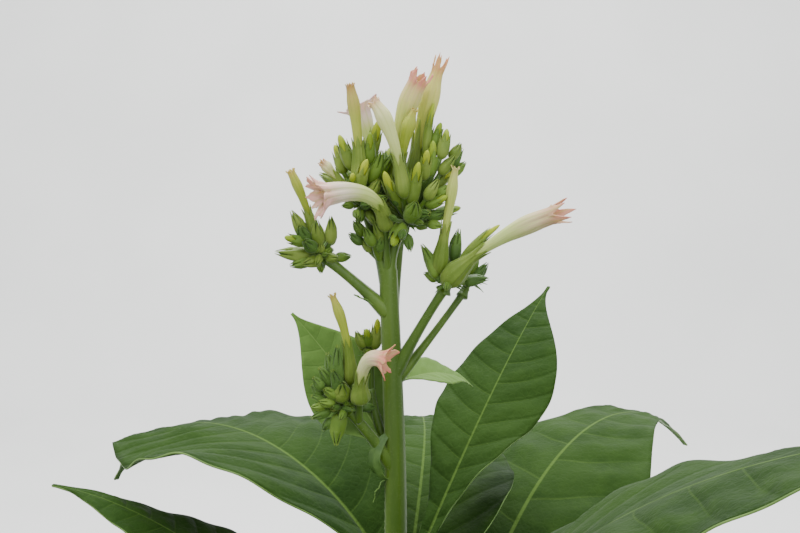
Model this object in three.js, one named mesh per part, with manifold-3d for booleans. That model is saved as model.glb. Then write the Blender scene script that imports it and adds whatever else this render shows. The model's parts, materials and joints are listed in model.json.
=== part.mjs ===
// A flowering tobacco plant, rooted in the ground: one upright stem, large leaves set round it in a
// spiral, small leaves below the flowers, and a head of five stalked bud clusters with tube flowers.
// Millimetres, +Z up. The origin is the centre of the flat cut under the stem, at ground level.
// Places in the flower head are given from the plant's top: x to the right, y to the back, and z as
// a distance below the highest flower tip, so that a place reads [x, y, z below the top].
import * as THREE from "three";
import Module from "manifold-3d";
import { mergeVertices } from "three/addons/utils/BufferGeometryUtils.js";

const wasm = await Module();
wasm.setup();
const { Manifold } = wasm;

// Driving sizes.
const PLANT_TOP = 1350;
const STEM_TIP_BELOW_TOP = 72;
const CLEARANCE = 0.3;
const SMALLEST_DETAIL = 0.08;
const FINEST_EDGE = 0.03;

// The stem: a flared foot, a long taper, and a slim neck under the flowers.
const FOOT_RADIUS = 19;
const BASE_RADIUS = 13.5;
const NECK_RADIUS = 4.2;
const TIP_RADIUS = 3.3;
const FLARE_HEIGHT = 45;
const NECK_BELOW_TOP = 183;
const STEM_BOW = 6;
const HEAD_LEAN = -5;
const STEM_SIDES = 12;
const STEM_RINGS = 16;

// The leaves: nine upper leaves of their own size, then the rest by rule.
const LEAF_COUNT = 22;
const GOLDEN_ANGLE = -137.5;
const FIRST_AZIMUTH = 86;
const LEAF_THICKNESS_SHARE = 0.01;
const LONGEST_LEAF = 540;
const LOWEST_LEAF_HEIGHT = 115;

const UP = new THREE.Vector3(0, 0, 1);
const radians = THREE.MathUtils.degToRad;
const { lerp, clamp, smoothstep } = THREE.MathUtils;

function inHead([x, y, below]) {
  return new THREE.Vector3(x, y, PLANT_TOP - below);
}

// A share from 0 to 1 that jumps about evenly as the count goes up.
function scatter(count, step = 0.618034) {
  return (count * step) % 1;
}

// Solids: a closed geometry becomes a solid once its shared corners are merged.
function solidOf(geometry) {
  const bare = new THREE.BufferGeometry();
  bare.setAttribute("position", geometry.getAttribute("position"));
  bare.setIndex(geometry.index);
  const merged = mergeVertices(bare, 1e-4);
  const corners = merged.index.array;
  const kept = [];
  for (let i = 0; i < corners.length; i += 3) {
    const [a, b, c] = [corners[i], corners[i + 1], corners[i + 2]];
    if (a !== b && b !== c && a !== c) kept.push(a, b, c);
  }
  const positions = new Float32Array(merged.attributes.position.array);
  const build = (triangles) =>
    new Manifold(
      new wasm.Mesh({
        numProp: 3,
        vertProperties: positions,
        triVerts: new Uint32Array(triangles),
      }),
    );
  const made = build(kept);
  return made.volume() < 0 ? build(kept.reverse()) : made;
}

// Frames along a curve: a point, the way forward, and two directions across it.
function stationOn(curve, share, across) {
  const inside = clamp(share, 0, 1);
  const forward = curve.getTangent(inside).normalize();
  const point = curve.getPoint(inside);
  if (share > 1) point.addScaledVector(forward, (share - 1) * curve.getLength());
  const side = across.clone().addScaledVector(forward, -across.dot(forward)).normalize();
  const normal = side.clone().cross(forward);
  return { point, forward, side, normal };
}

// A direction that stays well across a curve: square to its bend, or to a straight one.
function acrossOf(curve) {
  const first = curve.getTangent(0);
  const bend = first.clone().cross(curve.getTangent(1));
  if (bend.length() > 0.05) return bend.normalize();
  const aside = Math.abs(first.x) < 0.8 ? new THREE.Vector3(1, 0, 0) : new THREE.Vector3(0, 1, 0);
  return aside.cross(first).normalize();
}

// A round solid turned from rows of [radius, share of the curve], bent along the curve. A row's
// third value pushes every second corner out as a lobe, which opens by the lobe's angle.
function turned(rows, curve, sides, lobeAngle = 0) {
  const profile = rows.map(([radius, share]) => new THREE.Vector2(radius, share));
  const lathe = new THREE.LatheGeometry(profile, sides);
  const position = lathe.getAttribute("position");
  const across = acrossOf(curve);
  const length = curve.getLength();
  const point = new THREE.Vector3();
  for (let i = 0; i < position.count; i += 1) {
    const [radius, share, reach = 0] = rows[i % rows.length];
    const column = Math.floor(i / rows.length) % sides;
    const lobe = column % 2 === 0 ? reach : 0;
    const angle = (column / sides) * Math.PI * 2;
    const ahead = (lobe * Math.cos(radians(lobeAngle))) / length;
    const outward = radius + lobe * Math.sin(radians(lobeAngle));
    const at = stationOn(curve, share + ahead, across);
    point.copy(at.point);
    point.addScaledVector(at.side, outward * Math.cos(angle));
    point.addScaledVector(at.normal, outward * Math.sin(angle));
    position.setXYZ(i, point.x, point.y, point.z);
  }
  return solidOf(lathe);
}

function bezier(start, bend, end) {
  return new THREE.QuadraticBezierCurve3(start, bend, end);
}

function straight(start, end) {
  return new THREE.LineCurve3(start, end);
}

// A tapering limb with flat ends.
function limb(curve, startRadius, endRadius, sides, rings) {
  const rows = [[0, 0]];
  for (let i = 0; i <= rings; i += 1) {
    rows.push([lerp(startRadius, endRadius, i / rings), i / rings]);
  }
  rows.push([0, 1]);
  return turned(rows, curve, sides);
}

// The stem's line and thickness at a height.
function stemPoint(height) {
  const share = height / (PLANT_TOP - STEM_TIP_BELOW_TOP);
  const bow = STEM_BOW * Math.sin(Math.PI * 2 * share) * (1 - share);
  const lean = HEAD_LEAN * smoothstep(height, PLANT_TOP - NECK_BELOW_TOP, PLANT_TOP);
  return new THREE.Vector3(bow + lean, bow * 0.6, height);
}

function stemRadius(height) {
  const neck = PLANT_TOP - NECK_BELOW_TOP;
  const tip = PLANT_TOP - STEM_TIP_BELOW_TOP;
  if (height > neck) return lerp(NECK_RADIUS, TIP_RADIUS, (height - neck) / (tip - neck));
  const taper = NECK_RADIUS + (BASE_RADIUS - NECK_RADIUS) * (1 - height / neck) ** 0.75;
  const flare = (FOOT_RADIUS - BASE_RADIUS) * Math.max(0, 1 - height / FLARE_HEIGHT) ** 2;
  return taper + flare;
}

function stemSolid(grow = 0) {
  const tip = PLANT_TOP - STEM_TIP_BELOW_TOP;
  const heights = [0, FLARE_HEIGHT * 0.3, FLARE_HEIGHT];
  for (let i = 1; i <= STEM_RINGS; i += 1) {
    heights.push(lerp(FLARE_HEIGHT, tip, i / STEM_RINGS));
  }
  const rows = [[0, -grow / tip], ...heights.map((z) => [stemRadius(z) + grow, z / tip])];
  rows[1][1] = rows[0][1];
  rows[rows.length - 1][1] = 1 + grow / tip;
  rows.push([0, 1 + grow / tip]);
  const sides = STEM_SIDES;
  const lathe = new THREE.LatheGeometry(
    rows.map(([radius, share]) => new THREE.Vector2(radius, share)),
    sides,
  );
  const position = lathe.getAttribute("position");
  for (let i = 0; i < position.count; i += 1) {
    const [radius, share] = rows[i % rows.length];
    const angle = ((Math.floor(i / rows.length) % sides) / sides) * Math.PI * 2;
    const centre = stemPoint(share * tip);
    position.setXYZ(
      i,
      centre.x + radius * Math.cos(angle),
      centre.y + radius * Math.sin(angle),
      centre.z,
    );
  }
  return solidOf(lathe);
}

// A leaf's half width: a winged foot, widest before the middle, then a drawn-out tip.
function halfWidthAt(leaf, share) {
  const { widest, waist } = leaf;
  const rising = (share / widest) ** waist;
  const falling = ((1 - share) / (1 - widest)) ** (waist * (1 / widest - 1));
  const blade = (leaf.width / 2) * rising * falling;
  const least = lerp(leaf.width * 0.05 + 1, leaf.width * 0.01 + 0.3, share);
  return Math.hypot(blade, least);
}

// A leaf's middle line: it leaves the stem at its rise, falls off by its drop and turns by its sway.
function middleOf(leaf) {
  const steps = 60;
  const points = [leaf.foot.clone()];
  const ways = [];
  for (let i = 0; i <= steps; i += 1) {
    const share = i / steps;
    const elevation = radians(leaf.rise - leaf.drop * share ** leaf.bend);
    const azimuth = radians(leaf.azimuth + leaf.sway * share ** 1.5);
    const way = new THREE.Vector3(
      Math.cos(elevation) * Math.cos(azimuth),
      Math.cos(elevation) * Math.sin(azimuth),
      Math.sin(elevation),
    );
    ways.push({ way, azimuth });
    points.push(points[i].clone().addScaledVector(way, leaf.length / steps));
  }
  return (share) => {
    const place = clamp(share, 0, 1) * steps;
    const low = Math.min(Math.floor(place), steps - 1);
    const point = points[low].clone().lerp(points[low + 1], place - low);
    const { way, azimuth } = ways[Math.round(place)];
    const side = new THREE.Vector3(Math.sin(azimuth), -Math.cos(azimuth), 0);
    side.applyAxisAngle(way, radians(leaf.roll * smoothstep(share, 0, 0.4)));
    const normal = side.clone().cross(way).normalize();
    return { point, side, normal };
  };
}

// A blade is a flat block, bent along its middle line, folded along it and waved at its margins.
function leafSolid(leaf, across = 4, along = 9) {
  const block = new THREE.BoxGeometry(2, 2, 1, across, 1, along);
  const position = block.getAttribute("position");
  const middle = middleOf(leaf);
  const thickness = leaf.length * LEAF_THICKNESS_SHARE + 0.25;
  for (let i = 0; i < position.count; i += 1) {
    const aside = position.getX(i);
    const layer = position.getY(i);
    const share = position.getZ(i) + 0.5;
    const { point, side, normal } = middle(share);
    const reach = aside * halfWidthAt(leaf, share);
    const fold = radians(lerp(leaf.foldAtFoot, leaf.foldAtTip, smoothstep(share, 0, 0.6)));
    const wave =
      leaf.wave * aside * aside * Math.sin(Math.PI * 2 * leaf.waves * share + leaf.phase + aside);
    const rib = aside === 0 && layer < 0 ? lerp(leaf.rib, 0.2, share) : 0;
    const offset = Math.abs(reach) * Math.sin(fold) + wave * Math.sin(Math.PI * share);
    point.addScaledVector(side, reach * Math.cos(fold));
    point.addScaledVector(normal, offset + (layer * thickness) / 2 - rib);
    position.setXYZ(i, point.x, point.y, point.z);
  }
  return solidOf(block);
}

// A leaf whose foot is on the stem, at a distance below the plant's top.
function stemLeaf(below, azimuth, length, width, habit) {
  const height = PLANT_TOP - below;
  const foot = stemPoint(height);
  const inside = stemRadius(height) * 0.6;
  foot.x += inside * Math.cos(radians(azimuth));
  foot.y += inside * Math.sin(radians(azimuth));
  return {
    ...{ foot, azimuth, length, width, rise: 45, drop: 80, bend: 1.5, sway: 0, roll: 0 },
    ...{ foldAtFoot: 26, foldAtTip: -8, wave: width * 0.035, waves: 2.5, phase: azimuth / 40 },
    ...{ rib: 1 + length * 0.006, widest: 0.42, waist: 1.15 },
    ...habit,
  };
}

// The upper leaves turn a little from the even spiral, and those by the flower head are small.
const LEAF_TURNS = [-6, 17, -6, 24, 0, 21, -16, 0, 0];
const UPPER_LEAVES = [
  { below: 238, length: 232, width: 84, rise: 37, drop: 83, sway: 20, waist: 1.5 },
  { below: 254, length: 300, width: 100, rise: 56, drop: 60 },
  { below: 268, length: 174, width: 58, rise: 50, drop: 46 },
  { below: 213, length: 176, width: 50, rise: 44, drop: 24, sway: 6, widest: 0.6, waist: 3.2 },
  { below: 312, length: 360, width: 128, rise: 36, drop: 84 },
  { below: 202, length: 218, width: 104, rise: 56, drop: 108, bend: 0.8, sway: -6, roll: 4, waist: 1.35 },
  { below: 348, length: 410, width: 150, rise: 38, drop: 84 },
  { below: 368, length: 440, width: 166, rise: 40, drop: 86 },
  { below: 396, length: 432, width: 130, rise: 68, drop: 114, sway: -22, waist: 1.4 },
];

function leafByRule(index) {
  const first = UPPER_LEAVES.length;
  const share = (index - first) / (LEAF_COUNT - 1 - first);
  const below = lerp(430, PLANT_TOP - LOWEST_LEAF_HEIGHT, share);
  const length = LONGEST_LEAF - 70 * (1 - share) ** 3 - 90 * Math.max(0, share - 0.55);
  const width = length * lerp(0.42, 0.52, share);
  const rise = lerp(44, 20, share) + 6 * (scatter(index) - 0.5);
  const drop = lerp(86, 62, share) + 8 * (scatter(index, 0.414) - 0.5);
  return { below, length, width, rise, drop, sway: 24 * (scatter(index, 0.732) - 0.5) };
}

function stemLeaves() {
  const leaves = [];
  for (let index = 0; index < LEAF_COUNT; index += 1) {
    const { below, length, width, ...habit } = UPPER_LEAVES[index] ?? leafByRule(index);
    const azimuth = 360 * 9 + FIRST_AZIMUTH + GOLDEN_ANGLE * index + (LEAF_TURNS[index] ?? 0);
    leaves.push({
      name: `leaf_${String(index + 1).padStart(2, "0")}`,
      ...stemLeaf(below, azimuth % 360, length, width, habit),
    });
  }
  return leaves;
}

// Small leaves at the joints of the flower head.
function bracts() {
  const small = { wave: 0.4, rib: 0.3, foldAtFoot: 20, foldAtTip: 6 };
  return [
    {
      name: "bract_left",
      ...stemLeaf(150, 152, 64, 28, { rise: 55, drop: 10, sway: 16, roll: -62, ...small }),
    },
    {
      name: "bract_right",
      ...stemLeaf(123, 40, 40, 16, { rise: 6, drop: 50, sway: -6, roll: 18, ...small }),
    },
    {
      name: "bract_curled",
      ...stemLeaf(160, 214, 30, 7, { rise: 8, drop: -190, bend: 0.9, roll: 35, ...small }),
    },
    {
      name: "bract_hanging",
      ...stemLeaf(159, 196, 12, 4.5, { rise: -50, drop: 20, roll: 40, ...small }),
    },
    {
      name: "bract_upper_left",
      ...stemLeaf(95, 196, 23, 4, { rise: 32, drop: 14, ...small }),
    },
  ];
}

// The bare stalks that carry the side clusters, from the stem to just short of each hub.
const STALKS = [
  { name: "stalk_upper_left", from: [-5, -1, 92], bend: [-14, -3, 84], to: [-25, -4, 75.5], radii: [2.1, 1.7] },
  { name: "stalk_right", from: [0, -1, 116], bend: [9, -2, 100], to: [17.5, -3.6, 86.5], radii: [1.9, 1.6] },
  { name: "stalk_right_second", from: [1, 1, 119], bend: [15, 3, 104], to: [25, 6, 90], radii: [1.5, 1.2] },
  { name: "stalk_lower_left", from: [-2, -1, 152], bend: [-10, -4, 141], to: [-17.6, -5.6, 131.6], radii: [2.1, 1.8] },
  { name: "stalk_lower_left_second", from: [-2, 1, 152], bend: [-8, 5, 140], to: [-9.4, 6, 129], radii: [1.9, 1.4] },
  { name: "stalk_rear", from: [-2, 2, 101], bend: [0, 11, 88], to: [2, 17, 67], radii: [1.7, 1.3] },
];

function stalkSolid(stalk, grow = 0) {
  const curve = bezier(inHead(stalk.from), inHead(stalk.bend), inHead(stalk.to));
  const [start, end] = stalk.radii;
  return limb(curve, start + grow, end + grow, 8, 5);
}

// The flowers. Each runs along a bent line from its foot to its mouth. calyx is the share of the line
// that the green cup covers and cup its radius. tube is the corolla's radius at its foot, its widest
// and its mouth, and lobe is the length and opening angle of its five points.
const FLOWERS = [
  { name: "right_long", cluster: "right", foot: [17, -5, 85], bend: [33, -10, 65], mouth: [57, -20, 56],
    calyx: 0.36, cup: 4.1, tube: [1.9, 3.5, 3.1], lobe: [4.5, 14] },
  { name: "right_upright", cluster: "right", foot: [15, -4, 81], bend: [18, -6, 62], mouth: [21, -6, 42],
    calyx: 0.42, cup: 2.7, tube: [1.2, 2.0, 1.1], lobe: [1.0, 30] },
  { name: "top_right", cluster: "top_right", foot: [6.5, 3, 52], bend: [8, 4, 30], mouth: [15.5, 6, 7],
    calyx: 0.36, cup: 3.7, tube: [2.1, 3.1, 2.1], lobe: [5.0, -2] },
  { name: "top_centre", cluster: "top_left", foot: [-1, 1, 50], bend: [0, 0, 26], mouth: [8, -2, 12],
    calyx: 0.3, cup: 2.9, tube: [1.7, 4.1, 3.5], lobe: [5.0, 12] },
  { name: "top_slender", cluster: "top_right", foot: [1, -4, 47], bend: [2, -6, 33], mouth: [6.5, -7, 22],
    calyx: 0.3, cup: 1.8, tube: [0.9, 1.4, 0.8], lobe: [0.8, 0] },
  { name: "curved_white", cluster: "top_right", foot: [3, -8, 53], bend: [0, -13, 28], mouth: [-7.5, -10, 19.5],
    calyx: 0.28, cup: 2.3, tube: [1.3, 2.4, 1.8], lobe: [1.6, 20] },
  { name: "back_pink", cluster: "top_left", foot: [-8, 8, 47], bend: [-9, 11, 33], mouth: [-13, 14, 24],
    calyx: 0.4, cup: 2.5, tube: [1.4, 2.6, 2.9], lobe: [6.0, 62] },
  { name: "left_upright", cluster: "top_left", foot: [-13, -5, 50], bend: [-12.5, -6, 30], mouth: [-16, -7, 13],
    calyx: 0.42, cup: 2.8, tube: [1.4, 2.0, 1.4], lobe: [0.8, 10] },
  { name: "small_pink", cluster: "top_left", foot: [-17, -2, 54], bend: [-20.5, -3, 46], mouth: [-26, -6, 40.5],
    calyx: 0.6, cup: 2.3, tube: [1.2, 1.7, 1.4], lobe: [1.2, 0] },
  { name: "nodding", cluster: "top_left", from: [-5, -2, 70], foot: [-3.5, -6, 65], bend: [-4.5, -13, 46],
    mouth: [-24, -24, 49.5], calyx: 0.36, cup: 4.1, tube: [2.0, 4.0, 3.9], lobe: [5.0, 32] },
  { name: "upper_left_tube", cluster: "upper_left", foot: [-28.5, -5, 69], bend: [-31, -7, 56],
    mouth: [-37, -8, 43], calyx: 0.42, cup: 2.2, tube: [1.1, 1.8, 1.4], lobe: [0.9, 15] },
  { name: "lower_left_tube", cluster: "lower_left", foot: [-17, -6, 122], bend: [-16, -7, 104],
    mouth: [-23, -7, 88], calyx: 0.45, cup: 2.6, tube: [1.2, 1.9, 1.2], lobe: [1.0, 18] },
  { name: "lower_left_open", cluster: "lower_left", from: [-14, -5, 136], foot: [-13, -10, 128], bend: [-13.5, -16, 106],
    mouth: [-5, -19, 108.5], calyx: 0.34, cup: 3.0, tube: [1.6, 2.5, 2.6], lobe: [5.0, 48] },
];

function flowerCurve(flower) {
  return bezier(inHead(flower.foot), inHead(flower.bend), inHead(flower.mouth));
}

// The corolla starts just above the floor of its cup and ends in five pointed lobes round a dip.
const CUP_FLOOR_SHARE = 0.1;

function corollaSolid(flower, grow = 0) {
  const curve = flowerCurve(flower);
  const length = curve.getLength();
  const [foot, widest, mouth] = flower.tube;
  const start = CUP_FLOOR_SHARE + (CLEARANCE - grow) / length;
  const [lobe, lobeAngle] = flower.lobe;
  const rows = [
    [0, start],
    [foot * 0.8 + grow, start],
    [foot + grow, flower.calyx + 0.02],
    [lerp(foot, widest, 0.55) + grow, lerp(flower.calyx, 1, 0.35)],
    [widest + grow, lerp(flower.calyx, 1, 0.68)],
    [mouth + grow, 0.97 + grow / length, lobe],
    [0, 0.93 + grow / length],
  ];
  return turned(rows, curve, 10, lobeAngle);
}

// The calyx is a green cup with five teeth, and its floor carries the corolla.
function calyxSolid(flower, grow = 0) {
  const curve = flowerCurve(flower);
  const length = curve.getLength();
  const inner = flower.tube[0] + 0.5;
  const rim = Math.max(inner + 0.5, flower.cup * 0.82);
  const tooth = Math.min(3, flower.cup);
  const rows = [
    [0, 0],
    [flower.cup * 0.5 + grow, 0.004],
    [flower.cup + grow, flower.calyx * 0.4],
    [rim + grow, flower.calyx * 0.86, tooth],
    [inner, flower.calyx * 0.86],
    [inner, CUP_FLOOR_SHARE + grow / length],
    [0, CUP_FLOOR_SHARE + grow / length],
  ];
  return turned(rows, curve, 10, 8);
}

// Bud clusters. A row of tips is [x, y, z below the top, length] and, where it is stout, a width. A
// bud lies on the line from the hub to its tip. The buds that fill the rear follow by rule.
const CLUSTERS = [
  { name: "top_left", hub: [-12, 0, 56], arm: [[-6.3, -0.2, 71.6], 1.4], rear: 8, reach: 19, rise: 45,
    tips: [
      [-20, -4, 31, 14], [-22, 2, 35, 11], [-10, 6, 32, 10], [-6, -2, 26, 17], [-5, -6, 36, 14],
      [-1, -4, 38, 12], [-10, -10, 39, 13], [-15, -9, 44, 10], [-18, -8, 46, 8], [-6, -9, 46, 10],
    ] },
  { name: "top_right", hub: [4, -2, 62], arm: [[-2.6, -0.9, 71.6], 1.4], rear: 8, reach: 22, rise: 40,
    tips: [
      [-4, -13, 43, 20, 5], [3, -10, 41, 15, 4.4], [8, -10, 40, 16, 5], [13, -5, 33, 13, 4.8],
      [16, 0, 27, 10], [18, -2, 29, 11], [23, -1, 34, 7], [24, 1, 36, 8], [25, 1, 41, 7],
      [15, -9, 46, 9], [19.5, 0, 44, 9], [18, -8, 52, 9], [7, -15, 53, 12, 6.2], [18, -5, 58, 8],
      [17, -6, 63, 6], [-1, -13, 69, 11, 5.6], [5, -9, 72, 7], [13.5, 1, 20, 20, 3],
    ] },
  { name: "top_rear", hub: [-3, 8, 58], arm: [[-4.4, 1.6, 71.6], 1.2], rear: 10, reach: 22, rise: 50,
    tips: [] },
  { name: "upper_left", hub: [-27, -4, 74], arm: [[-25.2, -4, 75.3], 1.6], rear: 6, reach: 12, rise: 25,
    tips: [
      [-37, -9, 57, 12], [-23, -9, 59, 11, 4.2], [-43, -9, 72, 14, 5.2], [-39, -12, 66, 9],
      [-32, -14, 67, 9, 4.6], [-34, -11, 62, 10, 4.8], [-20, -9, 74, 6], [-27, -3, 81, 5],
      [-28, -10, 60, 11, 4.8], [-38, -8, 77, 9, 4.4], [-33, -11, 76, 8, 4.4],
    ] },
  { name: "right", hub: [19, -4, 84], arm: [[17.7, -3.6, 86.2], 1.5], rear: 4, reach: 13, rise: 30,
    tips: [[37, -4, 63, 20, 3.6], [23, 1, 65, 13], [9, -3, 70, 14, 4.4], [34, 2, 84, 10]] },
  { name: "right_second", hub: [27, 8.5, 86], arm: [[25.2, 6.2, 89.6], 1.1], rear: 3, reach: 9, rise: 35,
    tips: [[34, 8, 79, 9], [30, 10, 75, 10], [25, 11, 77, 8]] },
  { name: "lower_left", hub: [-19, -6, 130], arm: [[-17.8, -5.7, 131.4], 1.7], rear: 6, reach: 13, rise: 20,
    tips: [
      [-21, -8, 106, 16, 5], [-25, -8, 109, 12], [-28, -10, 114, 11], [-23, -13, 114, 11],
      [-31, -8, 121, 6], [-31, -9, 125, 6], [-26, -14, 121, 8], [-31, -11, 133, 8],
      [-27, -8, 139, 6], [-19, -13, 119, 10, 6.4], [-23, -9, 141, 10, 6.4],
    ] },
  { name: "lower_left_second", hub: [-9.5, 6, 114], arm: [[-9.4, 6, 128.7], 0.9], rear: 3, reach: 9, rise: 60,
    tips: [[-11, 2, 103, 9], [-7, 6, 100, 12], [-15, 4, 104, 8]] },
  { name: "rear", hub: [2, 18, 62], arm: [[2, 17.1, 66.7], 1.2], rear: 10, reach: 14, rise: 35,
    tips: [] },
];

const BUD_SIDES = 5;
const PEDICEL_SIDES = 3;
const HUB_RADIUS = 3.4;

function budWidth(length) {
  return 2.8 + 0.16 * length;
}

// Rear buds are spread over the half of the cluster that faces back, by an even scatter.
function rearTips(cluster) {
  const tips = [];
  for (let count = 1; count <= cluster.rear; count += 1) {
    const azimuth = radians(lerp(8, 172, scatter(count)));
    const elevation = radians(cluster.rise + 70 * (scatter(count, 0.414) - 0.5));
    const reach = cluster.reach * lerp(0.78, 1.08, scatter(count, 0.732));
    const [x, y, below] = cluster.hub;
    tips.push([
      x + reach * Math.cos(elevation) * Math.cos(azimuth),
      y + reach * Math.cos(elevation) * Math.sin(azimuth),
      below - reach * Math.sin(elevation),
      reach * lerp(0.5, 0.62, scatter(count, 0.29)),
    ]);
  }
  return tips;
}

function budSolids(cluster, grow) {
  const hub = inHead(cluster.hub);
  const solids = [];
  for (const [x, y, below, length, width = budWidth(length)] of [...cluster.tips, ...rearTips(cluster)]) {
    const tip = inHead([x, y, below]);
    const outward = tip.clone().sub(hub).normalize();
    const foot = tip.clone().addScaledVector(outward, -length);
    const radius = width / 2;
    const rows = [[0, 0], [radius * 0.85 + grow, 0.12], [radius + grow, 0.5], [0, 1]];
    solids.push(turned(rows, straight(foot, tip), BUD_SIDES));
    if (foot.distanceTo(hub) > HUB_RADIUS) {
      const start = hub.clone().addScaledVector(outward, HUB_RADIUS * 0.5);
      const pedicel = straight(start, foot.addScaledVector(outward, length * 0.1));
      solids.push(limb(pedicel, 1.1 + grow, 0.9 + grow, PEDICEL_SIDES, 1));
    }
  }
  return solids;
}

function knobSolid(centre, grow) {
  const knob = new THREE.IcosahedronGeometry(HUB_RADIUS + grow, 0);
  knob.translate(centre.x, centre.y, centre.z);
  return solidOf(knob);
}

function clusterSolid(cluster, grow = 0) {
  const hub = inHead(cluster.hub);
  const [armFoot, armRadius] = cluster.arm;
  const solids = [knobSolid(hub, grow), ...budSolids(cluster, grow)];
  solids.push(limb(straight(inHead(armFoot), hub), armRadius + grow, armRadius + grow, 6, 1));
  for (const flower of FLOWERS.filter((each) => each.cluster === cluster.name)) {
    const calyxFoot = flowerCurve(flower).getPoint(0.03);
    solids.push(calyxSolid(flower, grow));
    for (const from of [hub, ...(flower.from ? [inHead(flower.from)] : [])]) {
      solids.push(limb(straight(from, calyxFoot), 1.2 + grow, 1.2 + grow, PEDICEL_SIDES, 1));
    }
  }
  return Manifold.union(solids).asOriginal().simplify(SMALLEST_DETAIL);
}

// Neighbours are cut clear of each other, and the largest piece that is left is the sub-part.
function cutClear(solid, cutters) {
  const cut = cutters.reduce((left, cutter) => left.subtract(cutter), solid);
  const pieces = cut.decompose();
  const largest = pieces.reduce((best, piece) => (piece.volume() > best.volume() ? piece : best));
  return largest.asOriginal().simplify(FINEST_EDGE);
}

function geometryOf(solid) {
  const mesh = solid.getMesh();
  const positions = new Float32Array(mesh.numVert * 3);
  for (let i = 0; i < mesh.numVert; i += 1) {
    const start = i * mesh.numProp;
    positions.set(mesh.vertProperties.subarray(start, start + 3), i * 3);
  }
  const geometry = new THREE.BufferGeometry();
  geometry.setAttribute("position", new THREE.BufferAttribute(positions, 3));
  geometry.setIndex(new THREE.BufferAttribute(new Uint32Array(mesh.triVerts), 1));
  geometry.computeVertexNormals();
  return geometry;
}

// Materials, one for each kind of sub-part.
const STEM_GREEN = new THREE.MeshStandardMaterial({ color: 0x5b7a2c, roughness: 0.6, metalness: 0 });
const LEAF_GREEN = new THREE.MeshStandardMaterial({ color: 0x557a45, roughness: 0.65, metalness: 0 });
const BUD_GREEN = new THREE.MeshStandardMaterial({ color: 0x7f9a45, roughness: 0.6, metalness: 0 });
const PETAL_CREAM = new THREE.MeshStandardMaterial({ color: 0xe3d9c2, roughness: 0.55, metalness: 0 });

const plant = new THREE.Group();

function add(name, solid, material) {
  const mesh = new THREE.Mesh(geometryOf(solid), material);
  mesh.name = name;
  plant.add(mesh);
}

// Assembly, from the stem outwards.
const stemCutter = stemSolid(CLEARANCE);
add("stem", stemSolid(), STEM_GREEN);

const stalkCutters = [];
for (const stalk of STALKS) {
  add(stalk.name, cutClear(stalkSolid(stalk), [stemCutter, ...stalkCutters]), STEM_GREEN);
  stalkCutters.push(stalkSolid(stalk, CLEARANCE));
}

const corollaCutters = [];
for (const flower of FLOWERS) {
  add(`corolla_${flower.name}`, cutClear(corollaSolid(flower), corollaCutters), PETAL_CREAM);
  corollaCutters.push(corollaSolid(flower, CLEARANCE));
}

const clusterCutters = [];
for (const cluster of CLUSTERS) {
  const cutters = [stemCutter, ...stalkCutters, ...corollaCutters, ...clusterCutters];
  add(`buds_${cluster.name}`, cutClear(clusterSolid(cluster), cutters), BUD_GREEN);
  clusterCutters.push(clusterSolid(cluster, CLEARANCE));
}

for (const leaf of bracts()) {
  const cutters = [stemCutter, ...stalkCutters, ...corollaCutters, ...clusterCutters];
  add(leaf.name, cutClear(leafSolid(leaf, 2, 5), cutters), LEAF_GREEN);
}

for (const leaf of stemLeaves()) {
  add(leaf.name, cutClear(leafSolid(leaf, 4, 8), [stemCutter]), LEAF_GREEN);
}

export default plant;
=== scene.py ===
"""The finished look of a flowering tobacco plant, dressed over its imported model.

Lengths are millimetres. Places in the flower head are given from the plant's top: x to the right, y to
the back, and z as a distance below the highest flower tip. Colours are as seen on a screen, 0 to 255.
"""
import json
import logging
import math
from collections.abc import Callable, Sequence
from dataclasses import dataclass, field
from enum import Enum
from functools import partial

import bpy
import numpy as np
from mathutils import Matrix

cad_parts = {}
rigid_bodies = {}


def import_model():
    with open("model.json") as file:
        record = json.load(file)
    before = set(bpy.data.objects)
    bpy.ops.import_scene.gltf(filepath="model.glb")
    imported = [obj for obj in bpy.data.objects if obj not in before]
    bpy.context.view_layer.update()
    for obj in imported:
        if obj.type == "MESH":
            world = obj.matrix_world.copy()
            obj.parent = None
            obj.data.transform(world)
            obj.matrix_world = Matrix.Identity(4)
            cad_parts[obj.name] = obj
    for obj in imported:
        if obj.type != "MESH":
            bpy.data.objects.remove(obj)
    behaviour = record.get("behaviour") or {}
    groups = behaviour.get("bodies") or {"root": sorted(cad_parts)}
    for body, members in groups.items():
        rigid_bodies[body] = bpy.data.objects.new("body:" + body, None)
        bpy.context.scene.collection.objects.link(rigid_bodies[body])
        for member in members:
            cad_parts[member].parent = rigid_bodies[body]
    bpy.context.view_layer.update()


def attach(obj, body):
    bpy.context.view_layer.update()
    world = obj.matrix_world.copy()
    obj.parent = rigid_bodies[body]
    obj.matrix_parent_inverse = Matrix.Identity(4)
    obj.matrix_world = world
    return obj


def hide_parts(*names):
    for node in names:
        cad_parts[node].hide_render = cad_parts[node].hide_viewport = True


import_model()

MM = 0.001
PLANT_TOP = 1350.0
STEM_TIP = PLANT_TOP - 72.0
NECK = PLANT_TOP - 183.0
GOLDEN_ANGLE = -137.5
SCATTER_STEPS = (0.618034, 0.414, 0.732, 0.29)
CUP_FLOOR = 0.1
LOBES = 5
VEIN_SWEEP = 1.25
VEIN_CURVE = 1.35
VEIN_STAGGER = 0.45
TUBE_CHART = 0.78
LIP_STEP = 0.01
NUDGE = 1e-5

log = logging.getLogger("tobacco_plant")
Array = np.ndarray
Body = bpy.types.Object
Material = bpy.types.Material
Socket = bpy.types.NodeSocket
Point = tuple[float, float, float]
Pair = tuple[float, float]
Shade = tuple[int, int, int]
Rule = Callable[[Array], Array]
Tip = tuple[float, ...]


def lerp(low: float, high: float, share: float) -> float:
    """Blend two values."""
    return low + (high - low) * share


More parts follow.
